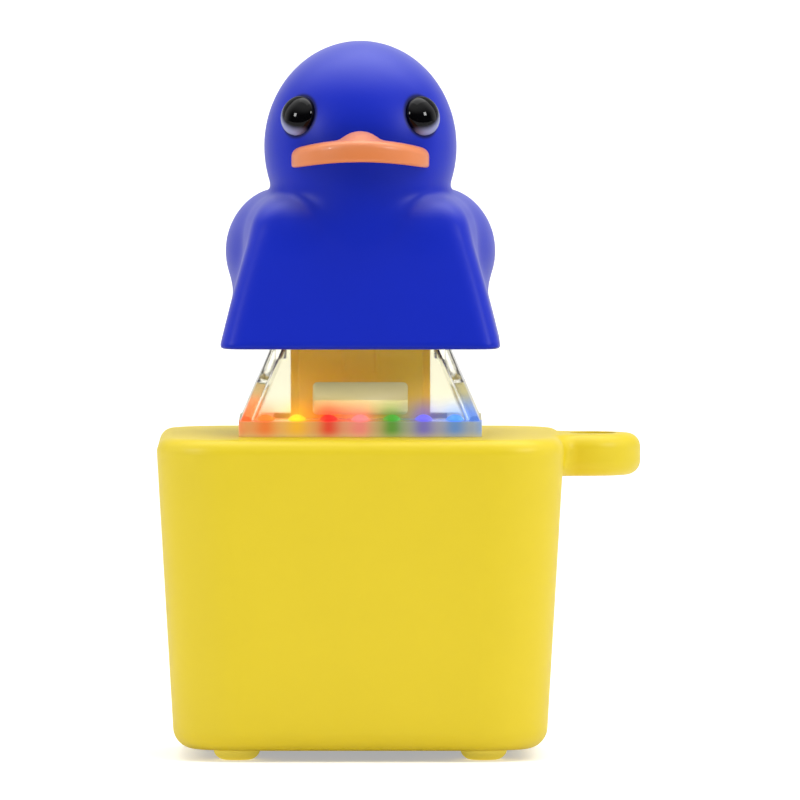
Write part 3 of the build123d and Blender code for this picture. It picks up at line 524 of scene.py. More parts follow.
# How softly the parts of the skin run into each other, and small sizes of the skirt, in millimetres.
SKIRT_CORNER = 1.6
SKIRT_TOP_BLEND = 1.9
SKIRT_SWELL = 0.1
SKIRT_EDGE_BLEND = 0.35
BACK_BLEND = 1.2
SHOULDER_BLEND = 1.4
WING_BLEND = 0.7
TAIL_BLEND = 1.6
HOLLOW_CORNER = 0.8
HOLLOW_BLEND = 0.3
CORE_GAP = 0.05
SKIN_MESH_MARGIN = 0.6
DRAFT_SCALE = 0.96  # about the cosine of the skirt's draft, so that its field still measures distance


def duck_sizes(s):
    """The duck's sizes in millimetres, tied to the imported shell."""
    low, high = node_box("duck_shell")
    skirt_top = low[2] + s.skirt_height / MM
    return {
        "bottom": low[2],
        "half": high[0],
        "top_half": s.skirt_top / MM / 2,
        "skirt_top": skirt_top,
        "wall": s.skirt_wall / MM,
        "core_top": node_box("keycap_core")[1][2],
        "head": np.array(s.head) / MM,
        "head_centre": np.array([0, -s.head_offset / MM, high[2] - s.head_drop / MM]),
        "wing": np.array(s.wing) / MM,
        "wing_centre": np.array(s.wing_place) / MM + (0, 0, low[2]),
        "shoulder": np.array(s.shoulder) / MM,
        "shoulder_centre": np.array(s.shoulder_place) / MM + (0, 0, low[2]),
        "back": np.array(s.back) / MM,
        "back_centre": (0, s.back_shift / MM, skirt_top - s.back_drop / MM),
        "tail": np.array(s.tail) / MM,
        "tail_centre": (0, s.tail_shift / MM, skirt_top - s.tail_drop / MM),
        "tail_tilt": s.tail_tilt,
        "chest_blend": s.chest_blend / MM,
        "crease_blend": s.crease_blend / MM,
        "chest_width": s.chest_width / MM,
        "eye_across": s.eye_across / MM,
        "eye_rise": s.eye_rise / MM,
    }


def skirt_field(p, d, inset=0.0, corner=SKIRT_CORNER):
    """The four drafted sides of the skirt, rounded where they meet."""
    t = (p[:, 2] - d["bottom"]) / (d["skirt_top"] - d["bottom"])
    half = d["half"] + (d["top_half"] - d["half"]) * t - inset
    swell = SKIRT_SWELL * np.sin(np.clip(t, 0, 1) * math.pi)
    sides = blend_max(np.abs(p[:, 0]) - half - swell, np.abs(p[:, 1]) - half - swell, corner)
    return DRAFT_SCALE * sides


def duck_field(d):
    """The whole duck, hollow under its socket plate."""

    def field(p):
        x, y, z = p.T
        side = np.stack([np.abs(x), y, z], 1)
        body = blend_max(skirt_field(p, d), z - d["skirt_top"], SKIRT_TOP_BLEND)
        body = blend_min(body, ellipsoid(p, d["back_centre"], d["back"]), BACK_BLEND)
        body = blend_min(body, ellipsoid(side, d["shoulder_centre"], d["shoulder"]), SHOULDER_BLEND)
        body = blend_min(body, ellipsoid(side, d["wing_centre"], d["wing"]), WING_BLEND)
        tail = ellipsoid(turned(p, d["tail_centre"], d["tail_tilt"]), (0, 0, 0), d["tail"])
        body = blend_min(body, tail, TAIL_BLEND)
        head = ellipsoid(p, d["head_centre"], d["head"])
        chest = np.exp(-((x / d["chest_width"]) ** 2)) * (y < 0)
        soft = d["crease_blend"] + (d["chest_blend"] - d["crease_blend"]) * chest
        duck = blend_min(body, head, soft)
        duck = blend_max(duck, d["bottom"] - z, SKIRT_EDGE_BLEND)
        hollow = np.maximum(skirt_field(p, d, d["wall"], HOLLOW_CORNER), z - d["core_top"] - CORE_GAP)
        return blend_max(duck, -hollow, HOLLOW_BLEND)

    return field


def skin_paint(eyes, radius, bloom, highlight_tint):
    """Paints shade as a thin dark line of the skin round each eye centre, where the bead sits in the head,
    and paints a highlight on the skin that faces up.
    """
    line_start, line_end = radius + 0.05, radius + 0.3
    line_shade = 0.18
    highlight_start = 0.4

    def paint(t, colour_in):
        place = t.place()
        # Painted shade: the skin darkens in a thin ring round each eye, where the bead meets it.
        line = 0.0
        for centre in eyes:
            mask = t.math("SUBTRACT", 1.0, t.ramp(t.distance(place, centre), line_start, line_end))
            line = t.math("MAXIMUM", line, mask)
        # Painted highlight: skin that faces up is paled towards the tint, standing in for the light from
        # above.
        normal = t.add("ShaderNodeNewGeometry").outputs["Normal"]
        up = t.ramp(t.parts(normal)["Z"], highlight_start, 1.0)
        pale = t.mix(t.math("MULTIPLY", up, bloom), colour_in, (*highlight_tint, 1))
        dark = (*(line_shade * v for v in colour_in[:3]), 1)
        return t.mix(line, pale, dark)

    return paint


def eye_frames(d):
    """For each eye: its name, centre on the head's surface, and the direction it faces."""
    frames = []
    for name in ("left_eye", "right_eye"):
        low, high = node_box(name)
        side = 1 if low[0] + high[0] > 0 else -1
        u = np.array([side * d["eye_across"], 0, d["eye_rise"]])
        sizes = d["head"]
        depth = sizes[1] * math.sqrt(1 - (u[0] / sizes[0]) ** 2 - (u[2] / sizes[2]) ** 2)
        u[1] = -depth
        out = u / sizes**2
        frames.append((name, d["head_centre"] + u, out / np.linalg.norm(out)))
    return frames


class CLICKER_OT_duck(bpy.types.Operator):
    """Duck: skirt, back, wings, tail and head as one skin"""

    bl_idname = "clicker.duck"
    bl_label = "Duck"

    def execute(self, context):
        s = context.scene.clicker_duck
        d = duck_sizes(s)
        low, high = node_box("duck_shell")
        points, quads = net(duck_field(d), low - SKIN_MESH_MARGIN, high + SKIN_MESH_MARGIN, s.detail / MM)
        obj = mesh_piece("duck_skin", points, quads)
        eyes = [tuple(centre) for _, centre, _ in eye_frames(d)]
        # The skin's colour carries painted shade round the eyes and a painted highlight where it faces up.
        paint = skin_paint(eyes, s.eye_radius / MM, s.bloom, s.highlight_tint)
        skin = moulded(
            "duck_plastic", s.skin, 0.38, grain=9.0, relief=0.05, drift=0.03, rounding=0, colour_from=paint,
            Specular_IOR_Level=0.13, Sheen_Weight=s.sheen, Sheen_Roughness=0.4,
        )
        finish_piece(obj, skin, "key", "blue_plastic", "duck_shell")
        return {"FINISHED"}


# The bill's form, in millimetres. Its floor and roof fall away to both sides from the middle.
BILL_THICK = 1.4
BILL_ROOF_FALL = 0.68
BILL_FLOOR_FALL = 0.5
BILL_LIFT = 0.35  # middle of the floor above the bill's lowest point
BILL_STRAIGHT = 1.2  # length of the straight stretch behind the half oval
BILL_BACK_BLEND = 0.3
BILL_RIDGE = np.array([1.0, 2.2, 0.66])
BILL_RIDGE_BEHIND = 0.1  # ridge's middle behind the head's front
BILL_RIDGE_SINK = 0.15
BILL_RIDGE_BLEND = 0.7
BILL_FALL_LIMIT = 1.2
BILL_MESH_STEP = 0.11
BILL_MESH_MARGIN = 0.5
OVAL_SCALE = 0.85  # brings the oval's field near to true distance


def bill_field(low, high, head_front, rim):
    """An arched slab, half oval in plan, with a low ridge in the middle of its top."""
    half = (high[0] - low[0]) / 2
    middle_top = low[2] + BILL_LIFT + BILL_THICK
    back = high[1] - BILL_STRAIGHT
    ridge_centre = (0, head_front + BILL_RIDGE_BEHIND, middle_top - BILL_RIDGE_SINK)

    def field(p):
        x, y, z = p.T
        fall = np.clip((x / half) ** 2, 0, BILL_FALL_LIMIT)
        roof = z - (middle_top - BILL_ROOF_FALL * fall)
        floor = (middle_top - BILL_THICK - BILL_FLOOR_FALL * fall) - z
        ahead = np.minimum(y - back, 0)
        reach = np.sqrt((x / half) ** 2 + (ahead / (back - low[1])) ** 2)
        plan = (reach - 1) * half * OVAL_SCALE
        shape = blend_max(blend_max(roof, plan, rim), floor, rim / 2)
        shape = blend_max(shape, y - high[1], BILL_BACK_BLEND)
        return blend_min(shape, ellipsoid(p, ridge_centre, BILL_RIDGE), BILL_RIDGE_BLEND)

    return field


def bill_paint(low, high):
    """Painted highlight: slightly paler towards the bill's top, where the light from above falls."""
    pale_start = low[2] + 0.7
    pale_share, white_share = 0.35, 0.2

    def paint(t, colour_in):
        up = t.ramp(t.parts(t.place())["Z"], pale_start, high[2])
        pale = (*((1 - white_share) * v + white_share for v in colour_in[:3]), 1)
        return t.mix(t.math("MULTIPLY", up, pale_share), colour_in, pale)

    return paint


class CLICKER_OT_bill(bpy.types.Operator):
    """Bill: a wide flat slab set in a slot of the head"""

    bl_idname = "clicker.bill"
    bl_label = "Bill"

    def execute(self, context):
        s = context.scene.clicker_duck
        d = duck_sizes(s)
        low, high = node_box("bill")
        front = d["head_centre"][1] - d["head"][1]
        field = bill_field(low, high, front, s.bill_rim / MM)
        points, quads = net(field, low - BILL_MESH_MARGIN, high + BILL_MESH_MARGIN, BILL_MESH_STEP)
        obj = mesh_piece("bill_soft", points, quads)
        finish = moulded(
            "bill_plastic", s.bill, 0.4, grain=9.0, relief=0.04, drift=0.03, rounding=0,
            colour_from=bill_paint(low, high), Coat_Weight=0.1,
        )
        finish_piece(obj, finish, "key", "bill_plastic", "bill")
        return {"FINISHED"}


def dome_mesh(radius, dome, shank, rings=20, segments=64):
    """A round bead about Z: a shank below zero and an elliptic dome above."""
    profile = [(0.0, -shank), (radius, -shank)]
    for a in np.linspace(0, math.pi / 2, rings, endpoint=False):
        profile.append((radius * math.cos(a), dome * math.sin(a)))
    profile.append((0.0, dome))
    return turned_mesh(profile, segments)


def eye_paint(eyes, radius, rim):
    """A painted reflection: a pale crescent on the outer lower side of the eye at each centre."""
    inwards, upwards = 0.26 * radius, 0.13 * radius
    reflection_start, reflection_end = 0.98 * radius, 1.16 * radius

    def paint(t, colour_in):
        place = t.place()
        # Painted reflection: the bead's outer lower side is paled as if it mirrored the bright surroundings.
        line = 0.0
        for centre in eyes:
            side = math.copysign(1, centre[0])
            inner = (centre[0] - side * inwards, centre[1], centre[2] + upwards)
            own_side = t.math("GREATER_THAN", t.math("MULTIPLY", t.parts(place)["X"], side), 0.0)
            mask = t.math("MULTIPLY", t.ramp(t.distance(place, inner), reflection_start, reflection_end), own_side)
            line = t.math("MAXIMUM", line, mask)
        return t.mix(line, colour_in, (*rim, 1))

    return paint


class CLICKER_OT_eyes(bpy.types.Operator):
    """Eyes: two glossy beads"""

    bl_idname = "clicker.eyes"
    bl_label = "Eyes"

    def execute(self, context):
        s = context.scene.clicker_duck
        d = duck_sizes(s)
        # The eyes' colour carries a painted reflection on each bead.
        paint = eye_paint([tuple(c) for _, c, _ in eye_frames(d)], s.eye_radius / MM, s.eye_reflection)
        gloss = moulded(
            "eye_plastic", s.eye, 0.05, grain=2.0, relief=0.0, drift=0.02, rounding=0, colour_from=paint,
            Specular_IOR_Level=0.16,
        )
        for name, centre, out in eye_frames(d):
            points, faces = dome_mesh(s.eye_radius / MM, s.eye_dome / MM, s.eye_shank / MM)
            turn = Vector(out).to_track_quat("Z", "Y").to_matrix()
            placed = points @ np.array(turn).T + centre
            obj = mesh_piece(f"{name}_bead", placed, faces)
            finish_piece(obj, gloss, "key", "eye_plastic", name)
        return {"FINISHED"}


# ---------------------------------------------------------------- the base


class CLICKER_OT_base(bpy.types.Operator):
    """Base shell and its cover"""

    bl_idname = "clicker.base"
    bl_label = "Base"

    def execute(self, context):
        s = context.scene.clicker_base
        shell = moulded(
            "base_plastic", s.shell, 0.42, grain=11.0, relief=0.1, drift=0.02, rounding=0.1,
            Specular_IOR_Level=0.35,
        )
        repaint(shell, "base_shell", "bottom_cover")
        return {"FINISHED"}


def spread_tree(material):
    """Geometry Nodes: one part repeated at the corners of a rectangle."""
    tree = new_group(
        "Four corners",
        "GeometryNodeTree",
        [
            ("Part", "NodeSocketObject", None),
            ("Size X", "NodeSocketFloat", 0.01),
            ("Size Y", "NodeSocketFloat", 0.01),
        ],
        [("Geometry", "NodeSocketGeometry")],
    )
    t = Tree(tree)
    given = t.add("NodeGroupInput").outputs
    grid = t.add(
        "GeometryNodeMeshGrid",
        {"Size X": given["Size X"], "Size Y": given["Size Y"], "Vertices X": 2, "Vertices Y": 2},
    )
    part = t.add("GeometryNodeObjectInfo", {"Object": given["Part"]})
    copies = t.add(
        "GeometryNodeInstanceOnPoints",
        {"Points": grid.outputs["Mesh"], "Instance": part.outputs["Geometry"]},
    )
    real = t.add("GeometryNodeRealizeInstances", {"Geometry": copies.outputs[0]})
    painted = t.add("GeometryNodeSetMaterial", {"Geometry": real.outputs[0], "Material": material})
    t.add("NodeGroupOutput", {"Geometry": painted.outputs[0]})
    return tree


def baked(name, tree, values):
    """The plain mesh that a Geometry Nodes tree makes from named values."""
    carrier = bpy.data.objects.new(f"{name}_carrier", bpy.data.meshes.new(f"{name}_carrier"))
    bpy.context.scene.collection.objects.link(carrier)
    modifier = carrier.modifiers.new("Nodes", "NODES")
    modifier.node_group = tree
    for item in tree.interface.items_tree:
        if item.in_out == "INPUT" and item.name in values:
            modifier[item.identifier] = values[item.name]
    bpy.context.view_layer.update()
    graph = bpy.context.evaluated_depsgraph_get()
    mesh = bpy.data.meshes.new_from_object(carrier.evaluated_get(graph))
    bpy.data.objects.remove(carrier)
    obj = bpy.data.objects.new(name, mesh)
    bpy.context.scene.collection.objects.link(obj)
    mesh.polygons.foreach_set("use_smooth", [True] * len(mesh.polygons))
    return obj


class CLICKER_OT_feet(bpy.types.Operator):
    """Four domed feet"""

    bl_idname = "clicker.feet"
    bl_label = "Feet"

    def execute(self, context):
        s = context.scene.clicker_base
        names = [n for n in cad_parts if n.startswith("foot_")]
        boxes = [node_box(n) for n in names]
        centres = np.array([(low + high) / 2 for low, high in boxes])
        low, high = boxes[0]
        # The rubber gives off light of its own colour: painted light that lifts the feet out of the shade
        # under the base.
        rubber = moulded(
            "foot_rubber", s.feet, 0.62, grain=12.0, relief=0.15, drift=0.03, rounding=0,
            Emission_Color=(*s.feet, 1), Emission_Strength=s.feet_painted_light,
        )
        points, faces = foot_mesh(s.foot_radius / MM, high[2])
        part = mesh_piece("foot_part", points, faces)
        span = centres.max(0) - centres.min(0)
        tree = spread_tree(rubber)
        obj = baked("feet", tree, {"Part": part, "Size X": span[0] * MM, "Size Y": span[1] * MM})
        bpy.data.objects.remove(part)
        finish_piece(obj, rubber, "base", "foot_rubber", *names)
        return {"FINISHED"}


def foot_mesh(radius, plug_top, flat=0.7, shoulder=0.7, plug_share=0.9, segments=48):
    """A domed foot about Z that stands on a small flat at zero and ends in a plug."""
    inner = 0.6 * flat
    profile = [(0.0, 0.0), (inner, 0.0)]
    for t in np.linspace(0, 1, 12):
        a = t * math.pi / 2
        profile.append((flat + (radius - flat) * math.sin(a), shoulder * (1 - math.cos(a))))
    plug = radius * plug_share
    profile += [(plug, shoulder), (plug, plug_top), (0.0, plug_top)]
    return turned_mesh(profile, segments)


# ---------------------------------------------------------------- the switch


# The lamps' light in the foot of the clear housing: heights above the base and depths, in millimetres.
GLOW_MARGIN = 2.0
GLOW_RISE = (-0.4, 0.5)
GLOW_FADE = (1.0, 2.8)
GLOW_FRONT = (-5.4, -4.4)
GLOW_MEAN, GLOW_SWING = 0.82, 0.18


def glow_paint(lamps, plate):
    """Colour and strength of the lamps' light caught in the foot of the clear housing."""
    half = lamps[-1][1] + GLOW_MARGIN
    pitch = lamps[1][1] - lamps[0][1]

    def paint(t):
        at = t.parts(t.place())
        tones = t.add("ShaderNodeValToRGB", {0: t.scaled_add(at["X"], 0.5 / half, 0.5)})
        stops = tones.color_ramp
        stops.interpolation = "EASE"
        while len(stops.elements) < len(lamps):
            stops.elements.new(0.5)
        for element, (name, x) in zip(stops.elements, lamps):
            element.position = 0.5 + 0.5 * x / half
            element.color = (*linear(LAMP_TINTS[name]), 1)
        wave = t.math("COSINE", t.math("MULTIPLY", at["X"], 2 * math.pi / pitch))
        spots = t.scaled_add(wave, GLOW_SWING, GLOW_MEAN)
        risen = t.ramp(at["Z"], plate + GLOW_RISE[0], plate + GLOW_RISE[1])
        faded = t.ramp(at["Z"], plate + GLOW_FADE[0], plate + GLOW_FADE[1])
        height = t.math("SUBTRACT", risen, faded)
        front = t.math("SUBTRACT", 1.0, t.ramp(at["Y"], *GLOW_FRONT))
        mask = t.math("MULTIPLY", t.math("MULTIPLY", height, front), spots)
        return tones.outputs[0], mask

    return paint


def clear_plastic(s, lamps, plate):
    """Clear plastic that takes the lamps' colours at its foot."""
    material, t, shader = new_material("clear_plastic")
    tone, mask = glow_paint(lamps, plate)(t)
    tint = t.mix(t.math("MULTIPLY", mask, s.clear_glow), (*s.clear, 1), tone)
    bevel = t.add("ShaderNodeBevel", {"Radius": s.clear_rounding}, samples=6).outputs[0]
    fine = t.noise(t.place(), 3.0, 3.0)
    bump = t.add(
        "ShaderNodeBump", {"Strength": 0.05, "Distance": 0.05 * MM, "Height": fine, "Normal": bevel}
    )
    links = t.tree.links
    links.new(tint, shader.inputs["Base Color"])
    links.new(t.scaled_add(fine, 0.06, s.clear_roughness), shader.inputs["Roughness"])
    links.new(bump.outputs[0], shader.inputs["Normal"])
    links.new(t.mix(mask, (0, 0, 0, 1), tone), shader.inputs["Emission Color"])
    shader.inputs["Emission Strength"].default_value = 0.35 * s.glow
    shader.inputs["Transmission Weight"].default_value = 0.97
    shader.inputs["IOR"].default_value = s.clear_bending
    return material


def lit_plastic(s, lamps, plate):
    """The pale lower housing, whose front edge takes the lamps' colours."""

    def paint(t, plain):
        tone, mask = glow_paint(lamps, plate)(t)
        shader = t.tree.nodes["Principled BSDF"]
        t.tree.links.new(t.mix(mask, (0, 0, 0, 1), tone), shader.inputs["Emission Color"])
        return t.mix(t.math("MULTIPLY", mask, s.flange_glow), plain, tone)

    return moulded(
        "flange_plastic", s.flange, 0.35, grain=8.0, relief=0.05, rounding=0.12, colour_from=paint,
        Emission_Strength=0.2 * s.glow,
    )


class CLICKER_OT_switch(bpy.types.Operator):
    """Switch housings, slider and contacts"""

    bl_idname = "clicker.switch"
    bl_label = "Switch"

    def execute(self, context):
        s = context.scene.clicker_switch
        plate = node_box("base_shell")[1][2]
        # The slider gives off a little light of its own colour: painted light that makes up for the light
        # lost in the clear housing.
        stem = moulded(
            "stem_plastic", s.stem, 0.3, grain=8.0, relief=0.05, rounding=0.15, Emission_Color=(*s.stem, 1),
            Emission_Strength=0.08,
        )
        skin = context.scene.clicker_duck.skin
        core = moulded("core_plastic", skin, 0.5, grain=8.0, relief=0.08, rounding=0.15)
        brass = metal("contact_brass", linear((214, 170, 96)), 0.28)
        repaint(clear_plastic(s, lamp_places(), plate), "upper_housing")
        repaint(stem, "stem")
        repaint(lit_plastic(s, lamp_places(), plate), "lower_housing")
        repaint(core, "keycap_core")
        repaint(brass, "fixed_contact", "contact_leaf", "leaf_terminal")
        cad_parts["upper_housing"].visible_shadow = False
        label = moulded("pad_plastic", s.pad, 0.45, grain=7.0, relief=0.06, drift=0.04, rounding=0.05)
        size = np.array(s.pad_size) / MM
        points, faces = rounded_plate(size, plate + s.pad_rise / MM, s.pad_corner / MM)
        points[:, 1] += node_box("upper_housing")[0][1] + s.pad_front / MM
        finish_piece(mesh_piece("name_pad", points, faces), label, "base", "flange_plastic")
        return {"FINISHED"}


def rounded_plate(sizes, centre_z, corner, steps=6):
    """Points and faces of an upright plate with round corners, its back at zero."""
    half_x, thickness, half_z = sizes[0] / 2, sizes[1], sizes[2] / 2
    ring = []
    for quarter in range(4):
        turn = quarter * math.pi / 2
        cx = (half_x - corner) * (1 if quarter in (0, 3) else -1)
        cz = (half_z - corner) * (1 if quarter in (0, 1) else -1)
        for a in np.linspace(turn, turn + math.pi / 2, steps):
            ring.append((cx + corner * math.cos(a), centre_z + cz + corner * math.sin(a)))
    count = len(ring)
    points = [(x, y, z) for y in (0.0, -thickness) for x, z in ring]
    faces = [tuple(reversed(range(count))), tuple(range(count, 2 * count))]
    faces += [(i, (i + 1) % count, count + (i + 1) % count, count + i) for i in range(count)]
    return np.array(points), faces


def spring_tree(material):
    """Geometry Nodes: a round wire wound on a spiral."""
    tree = new_group(
        "Wound spring",
        "GeometryNodeTree",
        [
            ("Turns", "NodeSocketFloat", 8.0),
            ("Radius", "NodeSocketFloat", 0.002),
            ("Height", "NodeSocketFloat", 0.007),
            ("Wire", "NodeSocketFloat", 0.0001),
            ("Bottom", "NodeSocketVector", None),
        ],
        [("Geometry", "NodeSocketGeometry")],
    )
    t = Tree(tree)
    given = t.add("NodeGroupInput").outputs
    spiral = t.add(
        "GeometryNodeCurveSpiral",
        {
            "Resolution": 36,
            "Rotations": given["Turns"],
            "Start Radius": given["Radius"],
            "End Radius": given["Radius"],
            "Height": given["Height"],
        },
    )
    wire = t.add("GeometryNodeCurvePrimitiveCircle", {"Resolution": 12, "Radius": given["Wire"]})
    tube = t.add(
        "GeometryNodeCurveToMesh",
        {"Curve": spiral.outputs[0], "Profile Curve": wire.outputs[0], "Fill Caps": True},
    )
    moved = t.add("GeometryNodeTransform", {"Geometry": tube.outputs[0], "Translation": given["Bottom"]})
    real = t.add("GeometryNodeRealizeInstances", {"Geometry": moved.outputs[0]})
    painted = t.add("GeometryNodeSetMaterial", {"Geometry": real.outputs[0], "Material": material})
    t.add("NodeGroupOutput", {"Geometry": painted.outputs[0]})
    return tree


class CLICKER_OT_spring(bpy.types.Operator):
    """Return spring under the slider"""

    bl_idname = "clicker.spring"
    bl_label = "Spring"

    def execute(self, context):
        s = context.scene.clicker_switch
        low, high = node_box("return_spring")
        wire = s.wire / MM / 2
        steel = metal("spring_steel", linear((206, 206, 210)), 0.22, rounding=0)
        values = {
            "Turns": float(s.coils),
            "Radius": ((high[0] - low[0]) / 2 - wire) * MM,
            "Height": (high[2] - low[2] - 2 * wire) * MM,
            "Wire": wire * MM,
            "Bottom": (0.0, 0.0, (low[2] + wire) * MM),
        }
        obj = baked("spring_wire", spring_tree(steel), values)
        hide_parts("return_spring")
        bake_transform(obj)
        return {"FINISHED"}


class CLICKER_OT_lamps(bpy.types.Operator):
    """Light strip and its seven lamps"""

    bl_idname = "clicker.lamps"
    bl_label = "Lamps"

    def execute(self, context):
        s = context.scene.clicker_switch
        board = moulded("strip_board", linear((222, 222, 214)), 0.45, rounding=0.05)
        repaint(board, "light_strip")
        for name, _ in lamp_places():
            tint = linear(LAMP_TINTS[name])
            lens = moulded(
                f"{name}_lens", tint, 0.2, grain=10.0, relief=0.03, rounding=0, Emission_Color=(*tint, 1),
                Emission_Strength=s.glow,
            )
            repaint(lens, name)
        return {"FINISHED"}


# ---------------------------------------------------------------- power and board


class CLICKER_OT_power(bpy.types.Operator):
    """Board, battery and screws inside the base"""

    bl_idname = "clicker.power"
    bl_label = "Power"

    def execute(self, context):
        steel = metal("screw_steel", linear((168, 170, 174)), 0.35)
        nickel = metal("cell_steel", linear((206, 208, 210)), 0.25, rounding=0.1)
        strap = metal("strap_steel", linear((196, 198, 202)), 0.3)
        holder = moulded("holder_plastic", linear((40, 40, 43)), 0.5, rounding=0.12)
        board = moulded("board_mask", linear((24, 92, 50)), 0.35, grain=5.0, rounding=0.05)
        chip = moulded("chip_body", linear((28, 28, 31)), 0.55, rounding=0.05)
        repaint(steel, "cover_screws", "board_screws")
        repaint(nickel, "button_cell_lower", "button_cell_middle", "button_cell_upper")
        repaint(strap, "positive_strap", "negative_strap")
        repaint(holder, "battery_holder")
        repaint(board, "main_board")
        repaint(chip, "driver_chip", "chip_resistors")
        return {"FINISHED"}


# ---------------------------------------------------------------- stage


def softbox(name, place_mm, side_mm, power, mirrored, lights):
    """A square area light that faces the object.

    Surfaces show its reflection if mirrored is true, and take its light if lights is true.
    """
    light = bpy.data.lights.new(name, "AREA")
    light.shape = "SQUARE"
    light.size = side_mm * MM
    light.energy = power
    obj = bpy.data.objects.new(name, light)
    obj.visible_glossy, obj.visible_diffuse = mirrored, lights
    obj.location = Vector(place_mm) * MM
    obj.rotation_euler = (Vector(LIGHTS_AIM) - Vector(place_mm)).to_track_quat("-Z", "Y").to_euler()
    bpy.context.scene.collection.objects.link(obj)


def studio_air(s):
    """White air for the camera; for light it is bright behind and above the object and dim in front of it."""
    world = bpy.data.worlds.new("studio_air")
    world.use_nodes = True
    t = Tree(world.node_tree)
    towards = t.parts(t.add("ShaderNodeTexCoord").outputs["Generated"])
    behind = t.ramp(towards["Y"], -0.25, 0.45)
    above = t.ramp(towards["Z"], 0.3, 0.9)
    level = t.math("ADD", t.math("MULTIPLY", behind, s.air_behind), t.math("MULTIPLY", above, s.air_above))
    path = t.add("ShaderNodeLightPath").outputs
    level = t.math("MULTIPLY", level, t.scaled_add(path["Is Glossy Ray"], s.air_gloss - 1, 1.0))
    soft = t.math("MULTIPLY", path["Is Diffuse Ray"], s.air_soft)
    level = t.math("ADD", t.math("ADD", level, s.air_front), soft)
    mixer = t.add("ShaderNodeMix", {"Factor": seen_directly(t), "A": level, "B": 1.0}, data_type="FLOAT")
    background = world.node_tree.nodes["Background"]
    background.inputs["Color"].default_value = (1, 1, 1, 1)
    world.node_tree.links.new(mixer.outputs[0], background.inputs["Strength"])
    return world


def seen_directly(t):
    """1 for what the camera sees, straight or through something clear."""
    path = t.add("ShaderNodeLightPath").outputs
    through = t.math("GREATER_THAN", path["Transmission Depth"], 0.5)
    clear = t.math("MULTIPLY", through, t.math("SUBTRACT", 1.0, path["Is Diffuse Ray"]))
    return t.math("MAXIMUM", path["Is Camera Ray"], clear)


def backdrop(material):
    """A floor that curves up into a wall behind the object, in millimetres."""
    half, near, bend, radius, rise = 1200.0, -150.0, 300.0, 250.0, 1100.0
    profile = [(near, 0.0), (bend, 0.0)]
    for a in np.linspace(0, math.pi / 2, 17)[1:]:
        profile.append((bend + radius * math.sin(a), radius - radius * math.cos(a)))
    profile.append((bend + radius, rise))
    points = [(x, y, z) for y, z in profile for x in (-half, half)]
    faces = [(2 * i, 2 * i + 1, 2 * i + 3, 2 * i + 2) for i in range(len(profile) - 1)]
    floor = mesh_piece("studio_floor", points, faces)
    floor.data.materials.append(material)


def studio_paper(lift_share):
    """Matt white paper, a little brighter for the camera, and seen only from its front."""
    paper, t, shader = new_material("studio_paper")
    shader.inputs["Base Color"].default_value = (0.9, 0.9, 0.9, 1)
    shader.inputs["Roughness"].default_value = 0.9
    shader.inputs["Emission Color"].default_value = (1, 1, 1, 1)
    lift = t.math("MULTIPLY", seen_directly(t), lift_share)
    front = t.math("SUBTRACT", 1.0, t.add("ShaderNodeNewGeometry").outputs["Backfacing"])
    t.tree.links.new(lift, shader.inputs["Emission Strength"])
    t.tree.links.new(front, shader.inputs["Alpha"])
    return paper


def studio_camera(s):
    """A far camera with a long lens, a little above level."""
    camera = bpy.data.cameras.new("studio_camera")
    camera.sensor_width = 36.0
    camera.lens = camera.sensor_width * s.distance / s.view_width
    camera.clip_start, camera.clip_end = 0.05, 20.0
    eye = bpy.data.objects.new("studio_camera", camera)
    direction = Vector((0, -math.cos(s.elevation), math.sin(s.elevation)))
    eye.location = Vector(s.aim) + direction * s.distance
    eye.rotation_euler = (-direction).to_track_quat("-Z", "Y").to_euler()
    bpy.context.scene.collection.objects.link(eye)
    return eye


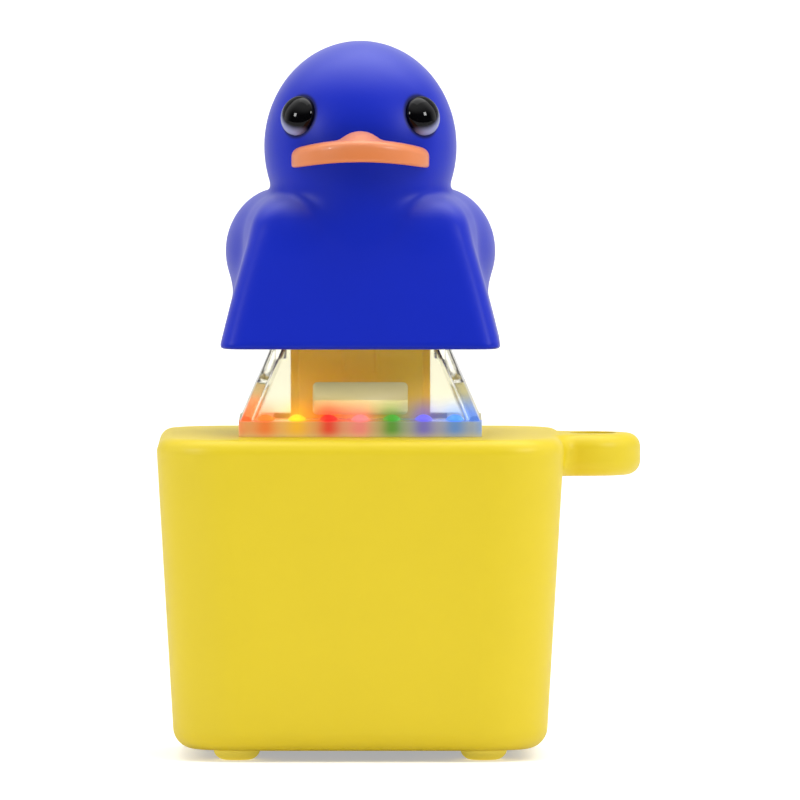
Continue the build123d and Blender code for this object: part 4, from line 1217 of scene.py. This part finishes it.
# Each light's name, place and size in millimetres, power, and whether surfaces mirror it and take its light.
LIGHTS = (
    ("key_light", (293, -246, 321), 300, 0.6, False, True),
    ("fill_light", (-371, -260, 211), 300, 0.28, False, True),
    ("top_light", (40, 60, 430), 360, 0.6, True, True),
    ("right_spark", (400, -230, 230), 90, 0.8, True, False),
    ("left_spark", (-400, -230, 200), 90, 0.7, True, False),
)
LIGHTS_AIM = (0, 0, 24)


class CLICKER_OT_stage(bpy.types.Operator):
    """Floor, lights, world and camera"""

    bl_idname = "clicker.stage"
    bl_label = "Stage"

    def execute(self, context):
        scene = context.scene
        s = scene.clicker_studio
        backdrop(studio_paper(s.paper_lift))
        for name, place, side, power, mirrored, lights in LIGHTS:
            softbox(name, place, side, power, mirrored, lights)
        scene.world = studio_air(s)
        scene.view_settings.view_transform = "Standard"
        scene.camera = studio_camera(s)
        return {"FINISHED"}


# ---------------------------------------------------------------- panel and registration

OPERATORS = (
    CLICKER_OT_base,
    CLICKER_OT_feet,
    CLICKER_OT_power,
    CLICKER_OT_switch,
    CLICKER_OT_spring,
    CLICKER_OT_lamps,
    CLICKER_OT_duck,
    CLICKER_OT_bill,
    CLICKER_OT_eyes,
    CLICKER_OT_stage,
)
SETTINGS = {
    "clicker_duck": DuckSettings,
    "clicker_switch": SwitchSettings,
    "clicker_base": BaseSettings,
    "clicker_studio": StudioSettings,
}


class CLICKER_PT_panel(bpy.types.Panel):
    """Lists the pieces and their settings"""

    bl_label = "Clicker"
    bl_space_type = "VIEW_3D"
    bl_region_type = "UI"
    bl_category = "Clicker"

    def draw(self, context):
        for operator in OPERATORS:
            self.layout.operator(operator.bl_idname)
        for name, group in SETTINGS.items():
            box = self.layout.box()
            box.label(text=group.__name__)
            for key in group.__annotations__:
                box.prop(getattr(context.scene, name), key)


def register():
    for cls in (*SETTINGS.values(), *OPERATORS, CLICKER_PT_panel):
        bpy.utils.register_class(cls)
    for name, group in SETTINGS.items():
        setattr(bpy.types.Scene, name, bpy.props.PointerProperty(type=group))


def unregister():
    for name in SETTINGS:
        delattr(bpy.types.Scene, name)
    for cls in reversed((*SETTINGS.values(), *OPERATORS, CLICKER_PT_panel)):
        bpy.utils.unregister_class(cls)


def main():
    register()
    for operator in OPERATORS:
        group, name = operator.bl_idname.split(".")
        getattr(getattr(bpy.ops, group), name)()


if __name__ == "__main__":
    main()
